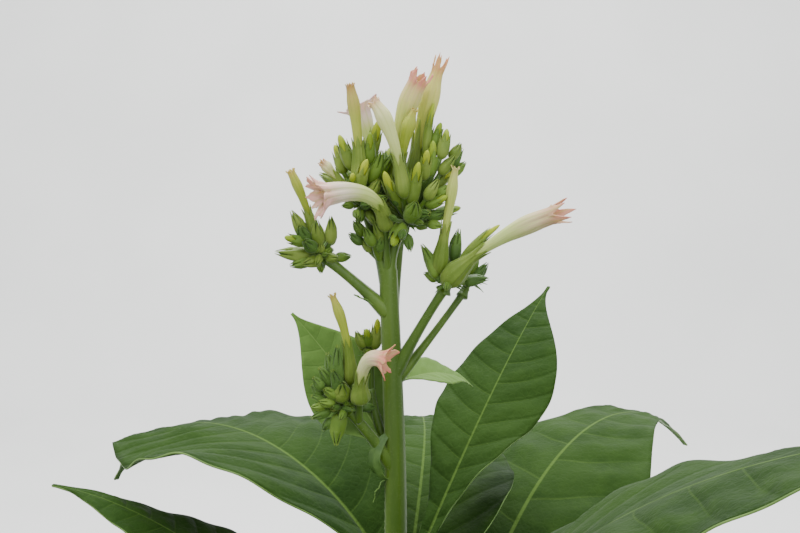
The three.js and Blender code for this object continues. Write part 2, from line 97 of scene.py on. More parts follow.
def smooth(value: Array, low: float, high: float) -> Array:
    """Ease from 0 at low to 1 at high."""
    share = np.clip((value - low) / (high - low), 0.0, 1.0)
    return share * share * (3.0 - 2.0 * share)


def bell(off: Array, width: float, power: int = 2) -> Array:
    """Give 1 where off is 0, falling to nothing past a width on either side."""
    return np.exp(-((off / width) ** power))


def scatter(count: int, row: int = 0) -> float:
    """Give a share from 0 to 1 that jumps about evenly as the count goes up."""
    return (count * SCATTER_STEPS[row]) % 1.0


def unit(vectors: Array) -> Array:
    """Scale a vector, or rows of vectors, to length 1."""
    return vectors / np.maximum(np.linalg.norm(vectors, axis=-1, keepdims=True), 1e-9)


def in_head(place: Point) -> Array:
    """Turn a place given from the plant's top into a place above the ground."""
    return np.array([place[0], place[1], PLANT_TOP - place[2]], dtype=float)


def linear(shade: Shade) -> tuple[float, ...]:
    """Turn a colour as seen on a screen into the renderer's linear colour, opaque."""
    parts = [value / 255.0 for value in shade]
    return (*(part / 12.92 if part <= 0.04045 else ((part + 0.055) / 1.055) ** 2.4 for part in parts), 1.0)


def through(keys: Sequence[Pair], at: Array) -> Array:
    """Run a smooth line through a few keys.

    Args:
        keys: Pairs of place and value, in rising order of place.
        at: The places to read.

    Returns:
        The values at those places.
    """
    places, values = np.array(keys, dtype=float).T
    slopes = np.gradient(values, places)
    at = np.clip(at, places[0], places[-1])
    low = np.clip(np.searchsorted(places, at, side="right") - 1, 0, len(places) - 2)
    width = places[low + 1] - places[low]
    share = (at - places[low]) / width
    square, cube = share**2, share**3
    return (
        (2 * cube - 3 * square + 1) * values[low]
        + (cube - 2 * square + share) * width * slopes[low]
        + (3 * square - 2 * cube) * values[low + 1]
        + (cube - square) * width * slopes[low + 1]
    )


def fivefold(angle: Array) -> Array:
    """Give 1 at the middle of each of five lobes and 0 in the valleys between them."""
    return 1 - np.abs(((angle * LOBES / math.tau + 0.5) % 1.0) - 0.5) * 2


def polar(places: Array) -> tuple[Array, Array]:
    """Give the angles round the axis and the distances from it."""
    return np.arctan2(places[:, 1], places[:, 0]), np.hypot(places[:, 0], places[:, 1])


def around(angle: Array, radius: Array, height: Array) -> Array:
    """Give the places at angles and distances round the axis."""
    return np.stack([radius * np.cos(angle), radius * np.sin(angle), height], axis=-1)


def read(items: Sequence[object], name: str, width: int = 1, kind: type = float) -> Array:
    """Read one value of every item of a mesh.

    Args:
        items: The mesh's corners, faces or loops.
        name: The value's name.
        width: How many numbers it has.
        kind: The kind of number.

    Returns:
        The numbers, in rows if there are several to an item.
    """
    values = np.empty(len(items) * width, dtype=kind)
    items.foreach_get(name, values)
    return values.reshape(-1, width) if width > 1 else values


def put_corners(mesh: bpy.types.Mesh, places: Array) -> None:
    """Move a mesh's corners to new places."""
    mesh.vertices.foreach_set("co", np.ascontiguousarray(places).ravel())
    mesh.update()


def lay_chart(mesh: bpy.types.Mesh, name: str, across: Array, along: Array) -> None:
    """Lay a flat chart over a mesh.

    Args:
        mesh: The mesh.
        name: The chart's name.
        across: Each corner's place across the chart.
        along: Each corner's place along the chart.
    """
    layer = mesh.uv_layers.get("UVMap") or mesh.uv_layers.new(name=name)
    layer.name = name
    spread = np.stack([across, along], axis=-1)[read(mesh.loops, "vertex_index", kind=int)]
    mesh.uv_layers[name].data.foreach_set("uv", np.ascontiguousarray(spread).ravel())


def shade_smooth(mesh: bpy.types.Mesh) -> None:
    """Shade a mesh smooth."""
    mesh.polygons.foreach_set("use_smooth", [True] * len(mesh.polygons))


def clear() -> None:
    """Leave edit mode and select nothing."""
    if bpy.context.object and bpy.context.object.mode != "OBJECT":
        bpy.ops.object.mode_set(mode="OBJECT")
    bpy.ops.object.select_all(action="DESELECT")


def start(add: Callable, name: str, **sizes: object) -> Body:
    """Start a piece from one of the plain shapes that Blender adds.

    Args:
        add: The operator that adds it.
        name: The piece's name.
        sizes: The operator's options.

    Returns:
        The new piece.
    """
    clear()
    add(**sizes)
    bpy.context.object.name = name
    return bpy.context.object


def grid(name: str, columns: int, rows: int) -> Body:
    """Lay a flat sheet of side 2 over the origin."""
    return start(bpy.ops.mesh.primitive_grid_add, name, x_subdivisions=columns, y_subdivisions=rows, size=2)


def pick(made: Body, mode: str = "OBJECT") -> None:
    """Turn the operators to one piece.

    Args:
        made: The piece.
        mode: The mode in which it is opened.
    """
    clear()
    bpy.context.view_layer.objects.active = made
    made.select_set(True)
    bpy.ops.object.mode_set(mode=mode)


def in_order(mesh: bpy.types.Mesh) -> list[tuple[tuple[int, ...], int]]:
    """List a mesh's faces in the order of their corners, as the operators leave their order to chance.

    Args:
        mesh: The mesh.

    Returns:
        Each face's corners, from its first-numbered one on, and its finish.
    """
    rows = []
    for face in mesh.polygons:
        ring = tuple(face.vertices)
        first = ring.index(min(ring))
        rows.append((ring[first:] + ring[:first], face.material_index))
    return sorted(rows)


def face_out(mesh: bpy.types.Mesh) -> None:
    """Turn all faces of the open piece outwards, leave edit mode and put the faces in order.

    Args:
        mesh: The open piece's mesh, with no finish and no chart yet.
    """
    bpy.ops.mesh.select_all(action="SELECT")
    bpy.ops.mesh.normals_make_consistent(inside=False)
    clear()
    places = read(mesh.vertices, "co", 3).tolist()
    faces = [face for face, _ in in_order(mesh)]
    mesh.clear_geometry()
    mesh.from_pydata(places, [], faces)


def tube(name: str, sides: int, rings: Sequence[Pair]) -> Body:
    """Draw a tube up from a circle, one extruded and resized ring at a time.

    Args:
        name: The piece's name.
        sides: How many sides the tube has.
        rings: Rows of radius and height, from the foot up.

    Returns:
        The tube, open at both ends.
    """
    radius, height = rings[0]
    add = bpy.ops.mesh.primitive_circle_add
    made = start(add, name, vertices=sides, radius=radius, location=(0, 0, height))
    bpy.ops.object.transform_apply(location=True, rotation=True, scale=True)
    bpy.ops.object.mode_set(mode="EDIT")
    for next_radius, next_height in rings[1:]:
        step = (0, 0, next_height - height)
        bpy.ops.mesh.extrude_region_move(TRANSFORM_OT_translate={"value": step})
        grow = next_radius / radius
        bpy.ops.transform.resize(value=(grow, grow, 1), center_override=(0, 0, next_height))
        radius, height = next_radius, next_height
    face_out(made.data)
    return made


def close(made: Body, *heights: float) -> None:
    """Draw rings of a tube in to their centres.

    Args:
        made: The tube.
        heights: The rings' heights.
    """
    mesh = made.data
    for height in heights:
        clear()
        for corner in mesh.vertices:
            corner.select = abs(corner.co.z - height) < NUDGE
        for edge in mesh.edges:
            edge.select = all(mesh.vertices[end].select for end in edge.vertices)
        for face in mesh.polygons:
            face.select = False
        pick(made, "EDIT")
        bpy.ops.mesh.select_mode(type="VERT")
        bpy.ops.mesh.extrude_region_move(TRANSFORM_OT_translate={"value": (0, 0, 0)})
        bpy.ops.mesh.merge(type="CENTER")
        face_out(mesh)


def move(made: Body, rule: Rule) -> None:
    """Move every corner of a piece by a rule that turns rows of places into new ones."""
    put_corners(made.data, rule(read(made.data.vertices, "co", 3)))


def thicken(made: Body, thickness: float, under: int = 0, rim: int = 0) -> None:
    """Give a sheet its thickness, away from its upper or outer side.

    Args:
        made: The sheet.
        thickness: The thickness, in the mesh's own unit.
        under: How many finishes further on the new side's finish is.
        rim: How many finishes further on the margin's finish is.
    """
    pick(made)
    wall = made.modifiers.new("wall", "SOLIDIFY")
    wall.thickness = thickness
    wall.offset = -1.0
    wall.material_offset = under
    wall.material_offset_rim = rim
    bpy.ops.object.modifier_apply(modifier=wall.name)
    clear()


def ride(made: Body, slot: str, *nodes: str) -> Body:
    """Hand a finished piece to the frame.

    Args:
        made: The piece.
        slot: The record's material slot. Not used.
        nodes: The model's nodes that the piece stands for.

    Returns:
        The same piece.
    """
    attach(made, "root")
    if nodes:
        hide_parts(*nodes)
    log.info("%s: %d faces", made.name, len(made.data.polygons))
    return made


@dataclass(frozen=True)
class Line:
    """A line through space that bends once, from its start past its bend to its end."""

    start: Array
    bend: Array
    end: Array

    @staticmethod
    def straight(start: Array, end: Array) -> "Line":
        """Make a line with no bend."""
        return Line(start, (start + end) / 2, end)

    def point(self, share: Array) -> Array:
        """Give the points of the line.

        Args:
            share: Shares of the line.

        Returns:
            The points.
        """
        share = np.atleast_1d(share)[:, None]
        past = self.start * (1 - share) ** 2 + 2 * self.bend * share * (1 - share)
        return past + self.end * share**2

    def tangent(self, share: Array) -> Array:
        """Give the directions at shares of the line."""
        share = np.atleast_1d(share)[:, None]
        return unit((self.bend - self.start) * (1 - share) + (self.end - self.bend) * share)

    def length(self) -> float:
        """Measure the line."""
        steps = np.diff(self.point(np.linspace(0, 1, 40)), axis=0)
        return float(np.linalg.norm(steps, axis=1).sum())

    def carry(self, local: Array) -> Array:
        """Bend a shape that stands on its own axis along the line.

        Args:
            local: Rows of x and y across the line, and a share of the line for z.

        Returns:
            The rows as places in space. A share past 1 goes straight on.
        """
        inside = np.clip(local[:, 2], 0.0, 1.0)
        forward = self.tangent(inside)
        points = self.point(inside) + forward * ((local[:, 2] - inside) * self.length())[:, None]
        first = self.tangent(0.0)[0]
        across = np.cross(first, self.tangent(1.0)[0])
        if np.linalg.norm(across) <= 0.05:
            aside = np.array([1.0, 0, 0]) if abs(first[0]) < 0.8 else np.array([0, 1.0, 0])
            across = np.cross(aside, first)
        side = unit(across - forward * (forward @ across)[:, None])
        return points + side * local[:, :1] + np.cross(forward, side) * local[:, 1:2]


@dataclass
class Pattern:
    """A small mesh that is modelled once and copied into larger ones.

    Its z runs from 0 at the foot to 1 at the tip and its widest radius is 1.
    """

    places: Array
    faces: list[tuple[int, ...]]
    slots: list[int]

    @staticmethod
    def taken_from(piece: Body) -> "Pattern":
        """Keep a modelled piece's mesh as a pattern and remove the piece.

        Args:
            piece: The modelled piece.

        Returns:
            The pattern.
        """
        mesh = piece.data
        places = read(mesh.vertices, "co", 3)
        faces, slots = zip(*in_order(mesh))
        bpy.data.objects.remove(piece)
        bpy.data.meshes.remove(mesh)
        return Pattern(places, list(faces), list(slots))

    def joined(self, other: "Pattern", slot: int) -> "Pattern":
        """Add another pattern to this one.

        Args:
            other: The added pattern.
            slot: The finish that all its faces get.

        Returns:
            Both as one pattern.
        """
        start = len(self.places)
        faces = self.faces + [tuple(corner + start for corner in face) for face in other.faces]
        return Pattern(np.vstack([self.places, other.places]), faces, self.slots + [slot] * len(other.faces))

    def tipped(self, above: float, slot: int) -> "Pattern":
        """Give the faces at the tip another finish.

        Args:
            above: The height above which they lie.
            slot: Their finish.

        Returns:
            The pattern with its new finishes.
        """
        middles = [float(np.mean(self.places[list(face), 2])) for face in self.faces]
        slots = [slot if middle > above else old for middle, old in zip(middles, self.slots)]
        return Pattern(self.places, self.faces, slots)

    def limb(self, line: Line, ends: Pair, flare: Pair, knuckle: float = 0.0, flutes: float = 0.05) -> Array:
        """Bend this pattern, a straight bar, into a tapering stalk.

        Args:
            line: The stalk's line.
            ends: Its radii where it starts and ends.
            flare: How much wider it is at its very start, and how far that reaches, as shares.
            knuckle: How much wider it is just before its end, as a share.
            flutes: How deep its flutes are, as a share of its radius.

        Returns:
            The places of the bar's corners.
        """
        share = self.places[:, 2:3]
        radius = lerp(*ends, share) * (1 + flare[0] * bell(share, flare[1]))
        radius = radius * (1 + knuckle * bell(share - 0.95, 0.12))
        radius = radius * (1 + flutes * np.cos(LOBES * polar(self.places)[0]))[:, None]
        return line.carry(np.hstack([self.places[:, :2] * radius, share]))


@dataclass
class Stock:
    """A growing joined mesh: copies of patterns, each moved to its place."""

    name: str
    places: list[Array] = field(default_factory=list)
    faces: list[tuple[int, ...]] = field(default_factory=list)
    slots: list[int] = field(default_factory=list)
    count: int = 0

    def add(self, pattern: Pattern, places: Array, shift: Sequence[int] = ()) -> None:
        """Add one copy of a pattern.

        Args:
            pattern: The pattern whose faces are copied.
            places: Where each of its corners goes, in millimetres.
            shift: The finish that each of the pattern's finishes becomes.
        """
        self.places.append(places)
        self.faces.extend([tuple(corner + self.count for corner in face) for face in pattern.faces])
        self.slots.extend([shift[slot] if shift else slot for slot in pattern.slots])
        self.count += len(places)

    def piece(self, finishes: Sequence[Material]) -> Body:
        """Make the joined mesh.

        Args:
            finishes: The materials, in the order of the finish numbers.

        Returns:
            The new piece.
        """
        mesh = bpy.data.meshes.new(self.name)
        mesh.from_pydata((np.vstack(self.places) * MM).tolist(), [], self.faces)
        for finish in finishes:
            mesh.materials.append(finish)
        mesh.polygons.foreach_set("material_index", self.slots)
        shade_smooth(mesh)
        mesh.validate()
        made = bpy.data.objects.new(self.name, mesh)
        bpy.context.scene.collection.objects.link(made)
        return made


class Web:
    """A material's nodes, added and linked by name."""

    def __init__(self, name: str) -> None:
        """Start a material with one shader."""
        self.material = bpy.data.materials.new(name)
        self.material.use_nodes = True
        self.tree = self.material.node_tree
        self.shader = self.tree.nodes["Principled BSDF"]

    def put(self, value: object, target: Socket) -> None:
        """Fill a socket.

        Args:
            value: A number, a direction, a colour as seen on a screen, or the socket to link.
            target: The socket that gets it.
        """
        if isinstance(value, Socket):
            self.tree.links.new(value, target)
        else:
            target.default_value = linear(value) if target.type == "RGBA" else value

    def settle(self, node: bpy.types.Node, values: dict[str, object]) -> None:
        """Put values in a node's sockets, by their names."""
        for name, value in values.items():
            self.put(value, node.inputs[name])

    def add(self, kind: str, *values: object, **options: object) -> bpy.types.Node:
        """Add a node.

        Args:
            kind: The node's type.
            values: What goes into its first sockets.
            options: Its options, by attribute name.

        Returns:
            The node.
        """
        made = self.tree.nodes.new(kind)
        for name, option in options.items():
            setattr(made, name, option)
        for value, target in zip(values, made.inputs):
            self.put(value, target)
        return made

    def sum(self, operation: str, *values: object) -> Socket:
        """Work out a number from others, by the arithmetic that operation names."""
        return self.add("ShaderNodeMath", *values, operation=operation).outputs[0]

    def fade(self, value: object, low: float, high: float, start: float = 0.0, end: float = 1.0) -> Socket:
        """Ease a number from one range to another.

        Args:
            value: The number or socket.
            low: Where the change begins.
            high: Where the change ends.
            start: The result at low.
            end: The result at high.

        Returns:
            The result's socket.
        """
        values = (value, low, high, start, end)
        return self.add("ShaderNodeMapRange", *values, interpolation_type="SMOOTHSTEP").outputs[0]

    def mix(self, share: object, first: object, second: object) -> Socket:
        """Mix two colours.

        Args:
            share: How much of the second shows, as a number or socket.
            first: A colour or socket.
            second: A colour or socket.

        Returns:
            The mixed colour's socket.
        """
        made = self.add("ShaderNodeMix", share, data_type="RGBA")
        self.put(first, made.inputs[6])
        self.put(second, made.inputs[7])
        return made.outputs[2]

    def chart(self, name: str) -> tuple[Socket, Socket]:
        """Read a flat chart.

        Args:
            name: The chart's name.

        Returns:
            The sockets of its two directions.
        """
        flat = self.add("ShaderNodeUVMap", uv_map=name).outputs[0]
        parts = self.add("ShaderNodeSeparateXYZ", flat)
        return parts.outputs[0], parts.outputs[1]

    def noise(self, scale: float, detail: float = 2.0, stretch: Point = (1, 1, 1)) -> Socket:
        """Read a cloudy pattern on the piece's own coordinates.

        Args:
            scale: Clouds to the metre.
            detail: How much finer pattern it holds.
            stretch: How much tighter it is along each axis.

        Returns:
            The pattern's socket, 0 to 1.
        """
        spread = self.add("ShaderNodeMapping", self.add("ShaderNodeTexCoord").outputs["Object"])
        self.settle(spread, {"Scale": stretch})
        made = self.add("ShaderNodeTexNoise")
        self.settle(made, {"Vector": spread.outputs[0], "Scale": scale, "Detail": detail})
        return made.outputs[0]

    def finish(self, colour: Socket, roughness: float, specular: float, sheen: float = 0.0,
               relief: tuple[Socket, float, float] | None = None) -> Material:
        """Set the shader's main values.

        Args:
            colour: The base colour.
            roughness: How dull the surface is.
            specular: How strong its reflection is.
            sheen: How much soft edge light its down gives.
            relief: The pattern that raises its shading, how strongly it shows and its depth in metres.

        Returns:
            The material.
        """
        self.settle(self.shader, {"Base Color": colour, "Roughness": roughness, "Sheen Weight": sheen,
                                  "Specular IOR Level": specular, "Sheen Roughness": 0.4})
        if relief:
            bump = self.add("ShaderNodeBump")
            self.settle(bump, dict(zip(("Height", "Strength", "Distance"), relief)))
            self.settle(self.shader, {"Normal": bump.outputs[0]})
        return self.material


@dataclass(frozen=True)
class StemFinish:
    """A smooth juicy green skin with faint upright streaks."""

    name: str = "stem_green"
    shade: Shade = (60, 88, 20)
    light: Shade = (84, 112, 32)

    def make(self) -> Material:
        """Make the material.

        Returns:
            The material.
        """
        web = Web(self.name)
        streaks = web.noise(160.0, stretch=(1.0, 1.0, 0.04))
        mixed = web.mix(web.fade(streaks, 0.35, 0.7), self.shade, self.light)
        colour = web.mix(web.fade(web.noise(38.0, 3.0), 0.4, 0.8, end=0.35), mixed, self.light)
        return web.finish(colour, 0.42, 0.35, 0.3, (streaks, 0.25, 0.0004))


@dataclass(frozen=True)
class BladeFinish:
    """A soft leaf with a pale midrib, curved side veins and a fine net between them, with painted shade in
    the grooves along the side veins and a painted highlight on the raised puckers.
    """

    name: str
    deep: Shade
    light: Shade
    vein: Shade
    veins: float = 15.0
    vein_show: float = 0.24
    relief: float = 0.5
    roughness: float = 0.7
    gloss: float = 0.045
    sheen: float = 0.04

    def make(self) -> Material:
        """Make the material.

        Returns:
            The material.
        """
        web = Web(self.name)
        plus, less, times = (partial(web.sum, name) for name in ("ADD", "SUBTRACT", "MULTIPLY"))
        chart, along = web.chart("blade")
        across = less(chart, 0.5)
        aside = web.sum("ABSOLUTE", across)
        outward = web.sum("ABSOLUTE", less(web.chart("margin")[0], 0.5))
        drift = times(less(web.noise(14.0), 0.5), 0.05)
        back = less(plus(along, drift), times(web.sum("POWER", aside, VEIN_CURVE), VEIN_SWEEP))
        stagger = times(web.sum("GREATER_THAN", across, 0.0), VEIN_STAGGER)
        count = plus(times(back, self.veins), stagger)
        off = web.sum("DIVIDE", web.sum("ABSOLUTE", less(web.sum("FRACT", count), 0.5)), self.veins)
        side = times(web.fade(off, 0.0003, 0.0024, 1.0, 0.0), web.fade(outward, 0.1, 0.46, 1.0, 0.12))
        soft = web.fade(off, 0.0, 0.011, 1.0, 0.0)
        near = web.sum("DIVIDE", aside, times(less(1.1, along), 0.0042))
        midrib = times(web.fade(near, 0.5, 1.2, 1.0, 0.0), 0.85)
        net = web.add("ShaderNodeTexVoronoi", feature="DISTANCE_TO_EDGE")
        web.settle(net, {"Vector": web.add("ShaderNodeTexCoord").outputs["Object"], "Scale": 330.0})
        mesh = web.fade(net.outputs[0], 0.0, 0.16, 1.0, 0.0)
        pucker_noise = web.noise(85.0, 3.0)
        ground = web.mix(web.fade(web.noise(16.0, 4.0), 0.22, 0.78), self.deep, self.light)
        # Lighter patches on the raised puckers: tone that differs at random, plus a painted highlight on the
        # pucker tops.
        mottled_and_highlit = web.mix(web.fade(pucker_noise, 0.42, 0.72, end=0.6), ground, self.light)
        # Painted shade: the colour darkens toward the deep green in the grooves along the side veins.
        swell = web.mix(times(soft, 0.12), mottled_and_highlit, self.deep)
        netted = web.mix(times(mesh, 0.035), swell, self.vein)
        veined = web.mix(web.sum("MAXIMUM", times(side, self.vein_show), midrib), netted, self.vein)
        dips = plus(times(mesh, -0.05), times(web.noise(700.0), 0.12))
        height = less(plus(dips, times(pucker_noise, 1.1)), times(soft, 0.26))
        return web.finish(veined, self.roughness, self.gloss, self.sheen, (height, self.relief, 0.0022))


@dataclass(frozen=True)
class CalyxFinish:
    """A green calyx with a little mottling and soft down."""

    name: str
    shade: Shade
    light: Shade

    def make(self) -> Material:
        """Make the material.

        Returns:
            The material.
        """
        web = Web(self.name)
        mottle = web.noise(420.0)
        mixed = web.mix(web.fade(web.noise(90.0), 0.35, 0.65), self.shade, self.light)
        colour = web.mix(web.fade(mottle, 0.5, 0.8, end=0.3), mixed, self.light)
        return web.finish(colour, 0.48, 0.18, 0.1, (mottle, 0.3, 0.0003))


@dataclass(frozen=True)
class PetalFinish:
    """A corolla whose tube runs from green through cream to the colour of its mouth."""

    foot: Shade = (158, 180, 84)
    tube: Shade = (182, 196, 118)
    throat: Shade = (194, 180, 136)
    lobe: Shade = (192, 142, 124)
    tip: Shade = (182, 116, 106)
    ribs: int = 10

    def make(self, name: str) -> Material:
        """Make the material.

        Args:
            name: The material's name.

        Returns:
            The material.
        """
        web = Web(name)
        round_it, along = web.chart("petal")
        waves = web.sum("SINE", web.sum("MULTIPLY", round_it, math.tau * self.ribs))
        lines = web.fade(waves, 0.55, 1.0, end=0.3)
        clouds = web.noise(160.0)
        colour = web.mix(web.fade(along, 0.12, 0.42), self.foot, self.tube)
        colour = web.mix(web.fade(along, 0.45, 0.72), colour, self.throat)
        colour = web.mix(web.fade(along, 0.68, 0.84), colour, self.lobe)
        colour = web.mix(web.fade(along, 0.88, 1.0, end=0.85), colour, self.tip)
        lined = web.mix(lines, colour, self.foot)
        clouded = web.mix(web.fade(clouds, 0.45, 0.75, end=0.25), lined, self.tube)
        web.settle(web.shader, {"Subsurface Weight": 0.25, "Subsurface Radius": (1.0, 0.7, 0.5),
                                "Subsurface Scale": 0.002})
        height = web.sum("SUBTRACT", clouds, lines)
        return web.finish(clouded, 0.55, 0.16, 0.06, (height, 0.25, 0.0005))


@dataclass(frozen=True)
class PlainFinish:
    """A small part's finish: one colour with a little cloudiness."""

    name: str
    shade: Shade
    light: Shade
    scale: float = 300.0
    roughness: float = 0.5

    def make(self) -> Material:
        """Make the material.

        Returns:
            The material.
        """
        web = Web(self.name)
        colour = web.mix(web.fade(web.noise(self.scale), 0.35, 0.7), self.shade, self.light)
        return web.finish(colour, self.roughness, 0.35)


@dataclass(frozen=True)
class Stem:
    """The stem: a flared foot, a long taper and a slim neck under the flowers."""

    foot_radius: float = 19.0
    base_radius: float = 13.5
    neck_radius: float = 4.2
    tip_radius: float = 3.3
    flare_height: float = 45.0
    bow: float = 6.0
    head_lean: float = -5.0
    ridge: float = 0.014
    fine_ridge: float = 0.006
    rounded: float = 9.0
    sides: int = 64
    cuts: tuple[int, ...] = (24, 11)

    def centre(self, height: Array) -> Array:
        """Give the middle of the stem at a height.

        Args:
            height: Heights above the ground.

        Returns:
            The places.
        """
        height = np.atleast_1d(np.asarray(height, dtype=float))
        share = height / STEM_TIP
        bow = self.bow * np.sin(math.tau * share) * (1 - share)
        lean = self.head_lean * smooth(height, NECK, PLANT_TOP)
        return np.stack([bow + lean, bow * 0.6, height], axis=-1)

    def radius(self, height: Array) -> Array:
        """Give the stem's radius at a height.

        Args:
            height: Heights above the ground.

        Returns:
            The radii.
        """
        slim = lerp(self.neck_radius, self.tip_radius, (height - NECK) / (STEM_TIP - NECK))
        taper = lerp(self.neck_radius, self.base_radius, np.maximum(1 - height / NECK, 0.0) ** 0.75)
        flare = (self.foot_radius - self.base_radius) * np.maximum(0, 1 - height / self.flare_height) ** 2
        return np.where(height > NECK, slim, taper + flare)

    def build(self, finish: Material, feet: Sequence[Point]) -> None:
        """Model the stem with its ridges and the swellings where leaves leave it.

        Args:
            finish: The stem's material.
            feet: The height, azimuth in degrees and width of each leaf's foot.
        """
        add = bpy.ops.mesh.primitive_cylinder_add
        made = start(add, "stem_skin", vertices=self.sides, radius=1, depth=1)
        mesh = made.data
        for cuts in self.cuts:
            bpy.ops.object.mode_set(mode="EDIT")
            bpy.ops.mesh.select_mode(type="EDGE")
            bpy.ops.mesh.select_all(action="DESELECT")
            bpy.ops.object.mode_set(mode="OBJECT")
            for edge in mesh.edges:
                low, high = (mesh.vertices[end].co.z for end in edge.vertices)
                edge.select = abs(low - high) > NUDGE
            bpy.ops.object.mode_set(mode="EDIT")
            bpy.ops.mesh.subdivide(number_cuts=cuts)
            bpy.ops.mesh.select_mode(type="VERT")
            bpy.ops.object.mode_set(mode="OBJECT")

        def shaped(places: Array) -> Array:
            """Give the round bar the stem's taper, ridges and swellings.

            Args:
                places: The round bar's corners.

            Returns:
                Where they go.
            """
            height = (places[:, 2] + 0.5) * STEM_TIP
            angle = polar(places)[0]
            radius = self.radius(height)
            ridges = self.ridge * np.cos(5 * angle + height / 90) + self.fine_ridge * np.cos(11 * angle)
            radius = radius * (1 + ridges)
            radius = radius * (1 - 0.85 * smooth(height, STEM_TIP - self.rounded, STEM_TIP) ** 2)
            for foot, azimuth, width in feet:
                off = np.angle(np.exp(1j * (angle - math.radians(azimuth))))
                swelling = 0.14 * bell(height - foot, 9.0) + 0.032 * bell(height - foot + 18.0, 22.0)
                radius = radius + swelling * radius * bell(off * radius, max(width, 4.0))
            return (self.centre(height) + around(angle, radius, 0 * height)) * MM

        move(made, shaped)
        shade_smooth(mesh)
        mesh.materials.append(finish)
        ride(made, "stem", "stem")


@dataclass(frozen=True)
class Leaf:
    """A blade on the stem: it leaves at its rise, falls by its drop and turns by its sway."""

    name: str
    below: float
    azimuth: float
    length: float
    width: float
    rise: float
    drop: float
    bend: float = 1.5
    sway: float = 0.0
    roll: float = 0.0
    fold_foot: float = 26.0
    fold_tip: float = -8.0
    wave: float | None = None
    waves: float = 2.5
    rib: float | None = None
    widest: float = 0.42
    waist: float = 1.15
    columns: int = 24
    rows: int = 80
    thickness: float = 0.7
    veins: float = 15.0
    steps: int = 60

    def middle(self, stem: Stem, share: Array) -> tuple[Array, Array, Array]:
        """Follow the leaf's middle line.

        Args:
            stem: The stem that the leaf stands on.
            share: Shares of the leaf's length.

        Returns:
            The points, the directions across the blade and the directions out of it.
        """
        height = PLANT_TOP - self.below
        turn = math.radians(self.azimuth)
        foot = stem.centre(height)[0]
        foot[:2] += float(stem.radius(height)) * 0.6 * np.array([math.cos(turn), math.sin(turn)])
        at = np.arange(self.steps + 1) / self.steps
        elevation = np.radians(self.rise - self.drop * at**self.bend)
        azimuth = np.radians(self.azimuth + self.sway * at**1.5)
        ways = around(azimuth, np.cos(elevation), np.sin(elevation))
        walked = np.vstack([foot, foot + np.cumsum(ways * self.length / self.steps, axis=0)])
        place = np.clip(share, 0, 1) * self.steps
        low = np.minimum(place.astype(int), self.steps - 1)
        part = (place - low)[:, None]
        points = lerp(walked[low], walked[low + 1], part)
        way = unit(lerp(ways[low], ways[low + 1], part))
        facing = lerp(azimuth[low], azimuth[low + 1], part[:, 0])
        side = np.stack([np.sin(facing), -np.cos(facing), 0 * facing], axis=-1)
        angle = np.radians(self.roll * smooth(share, 0, 0.4))[:, None]
        side = side * np.cos(angle) + np.cross(way, side) * np.sin(angle)
        return points, side, unit(np.cross(side, way))

    def half_width(self, share: Array) -> Array:
        """Give half the blade's width.

        Args:
            share: Shares of its length.

        Returns:
            The half widths.
        """
        rising = (share / self.widest) ** self.waist
        falling = ((1 - share) / (1 - self.widest)) ** (self.waist * (1 / self.widest - 1))
        least = lerp(self.width * 0.05 + 1, self.width * 0.01 + 0.3, share)
        return np.hypot(self.width / 2 * rising * falling, least)

    def relief(self, share: Array, aside: Array, reach: Array, seed: int) -> Array:
        """Raise the blade between its side veins and wave its margins.

        Args:
            share: Shares of its length.
            aside: Shares of the half width, below 0 on the left.
            reach: Distances from the midrib.
            seed: What makes this leaf's small unevenness its own.

        Returns:
            How far each corner stands out of the folded blade.
        """
        out = np.abs(aside)
        wave = self.width * 0.035 if self.wave is None else self.wave
        ripple = aside**2 * np.sin(math.tau * self.waves * share + self.azimuth / 40 + aside)
        fine = np.sin(math.tau * self.waves * 3.7 * share + seed * 1.7 + 2.2 * np.sign(aside))
        ripple = wave * (ripple + 0.28 * out**5 * fine)
        back = VEIN_SWEEP * (np.abs(reach) / self.length) ** VEIN_CURVE
        line = (share - back) * self.veins + VEIN_STAGGER * (reach > 0)
        between = np.cos(math.tau * (line % 1.0)) * 0.5 + 0.5
        uneven = 1 + 0.45 * np.sin(9.0 * share + 5.0 * aside + seed) * np.sin(23.0 * share - 7.0 * aside)
        swell = self.width * 0.013 * between * uneven * smooth(out, 0.03, 0.3) * (1 - smooth(out, 0.75, 1.0))
        return ripple * np.sin(math.pi * share) + swell * np.sin(math.pi * share) ** 0.5

    def build(self, stem: Stem, finishes: Sequence[Material], seed: int) -> None:
        """Model the blade with its midrib, veins, swellings and waved margins.

        Args:
            stem: The stem that the leaf stands on.
            finishes: The materials of the upper side, the lower side and the margin.
            seed: What makes this leaf's small unevenness its own.
        """
        made = grid(f"{self.name}_blade", self.columns, self.rows)
        mesh = made.data
        flat = read(mesh.vertices, "co", 3)
        count = len(flat)
        aside = np.sign(flat[:, 0]) * np.abs(flat[:, 0]) ** 1.35
        share = (flat[:, 1] + 1) / 2
        points, side, normal = self.middle(stem, share)
        rib = 1 + self.length * 0.006 if self.rib is None else self.rib
        fold = np.radians(lerp(self.fold_foot, self.fold_tip, smooth(share, 0, 0.6)))
        reach = aside * self.half_width(share)
        offset = np.abs(reach) * np.sin(fold) + self.relief(share, aside, reach, seed)
        groove = 0.3 * rib * bell(reach, 1.2 + rib * 0.5) * (1 - share)
        places = points + side * (reach * np.cos(fold))[:, None] + normal * (offset - groove)[:, None]
        put_corners(mesh, places * MM)
        lay_chart(mesh, "blade", 0.5 + reach / self.length, share)
        lay_chart(mesh, "margin", 0.5 + aside / 2, share)
        for finish in finishes:
            mesh.materials.append(finish)
        thicken(made, self.thickness * MM, 1, 2)
        places = read(mesh.vertices, "co", 3)
        keel = 0.8 * rib * bell(reach, 0.5 + rib * 0.42, 4) * (1 - 0.9 * share)
        places[count : 2 * count] -= normal * (keel + 0.05)[:, None] * MM
        put_corners(mesh, places)
        shade_smooth(mesh)
        ride(made, "leaf", self.name)


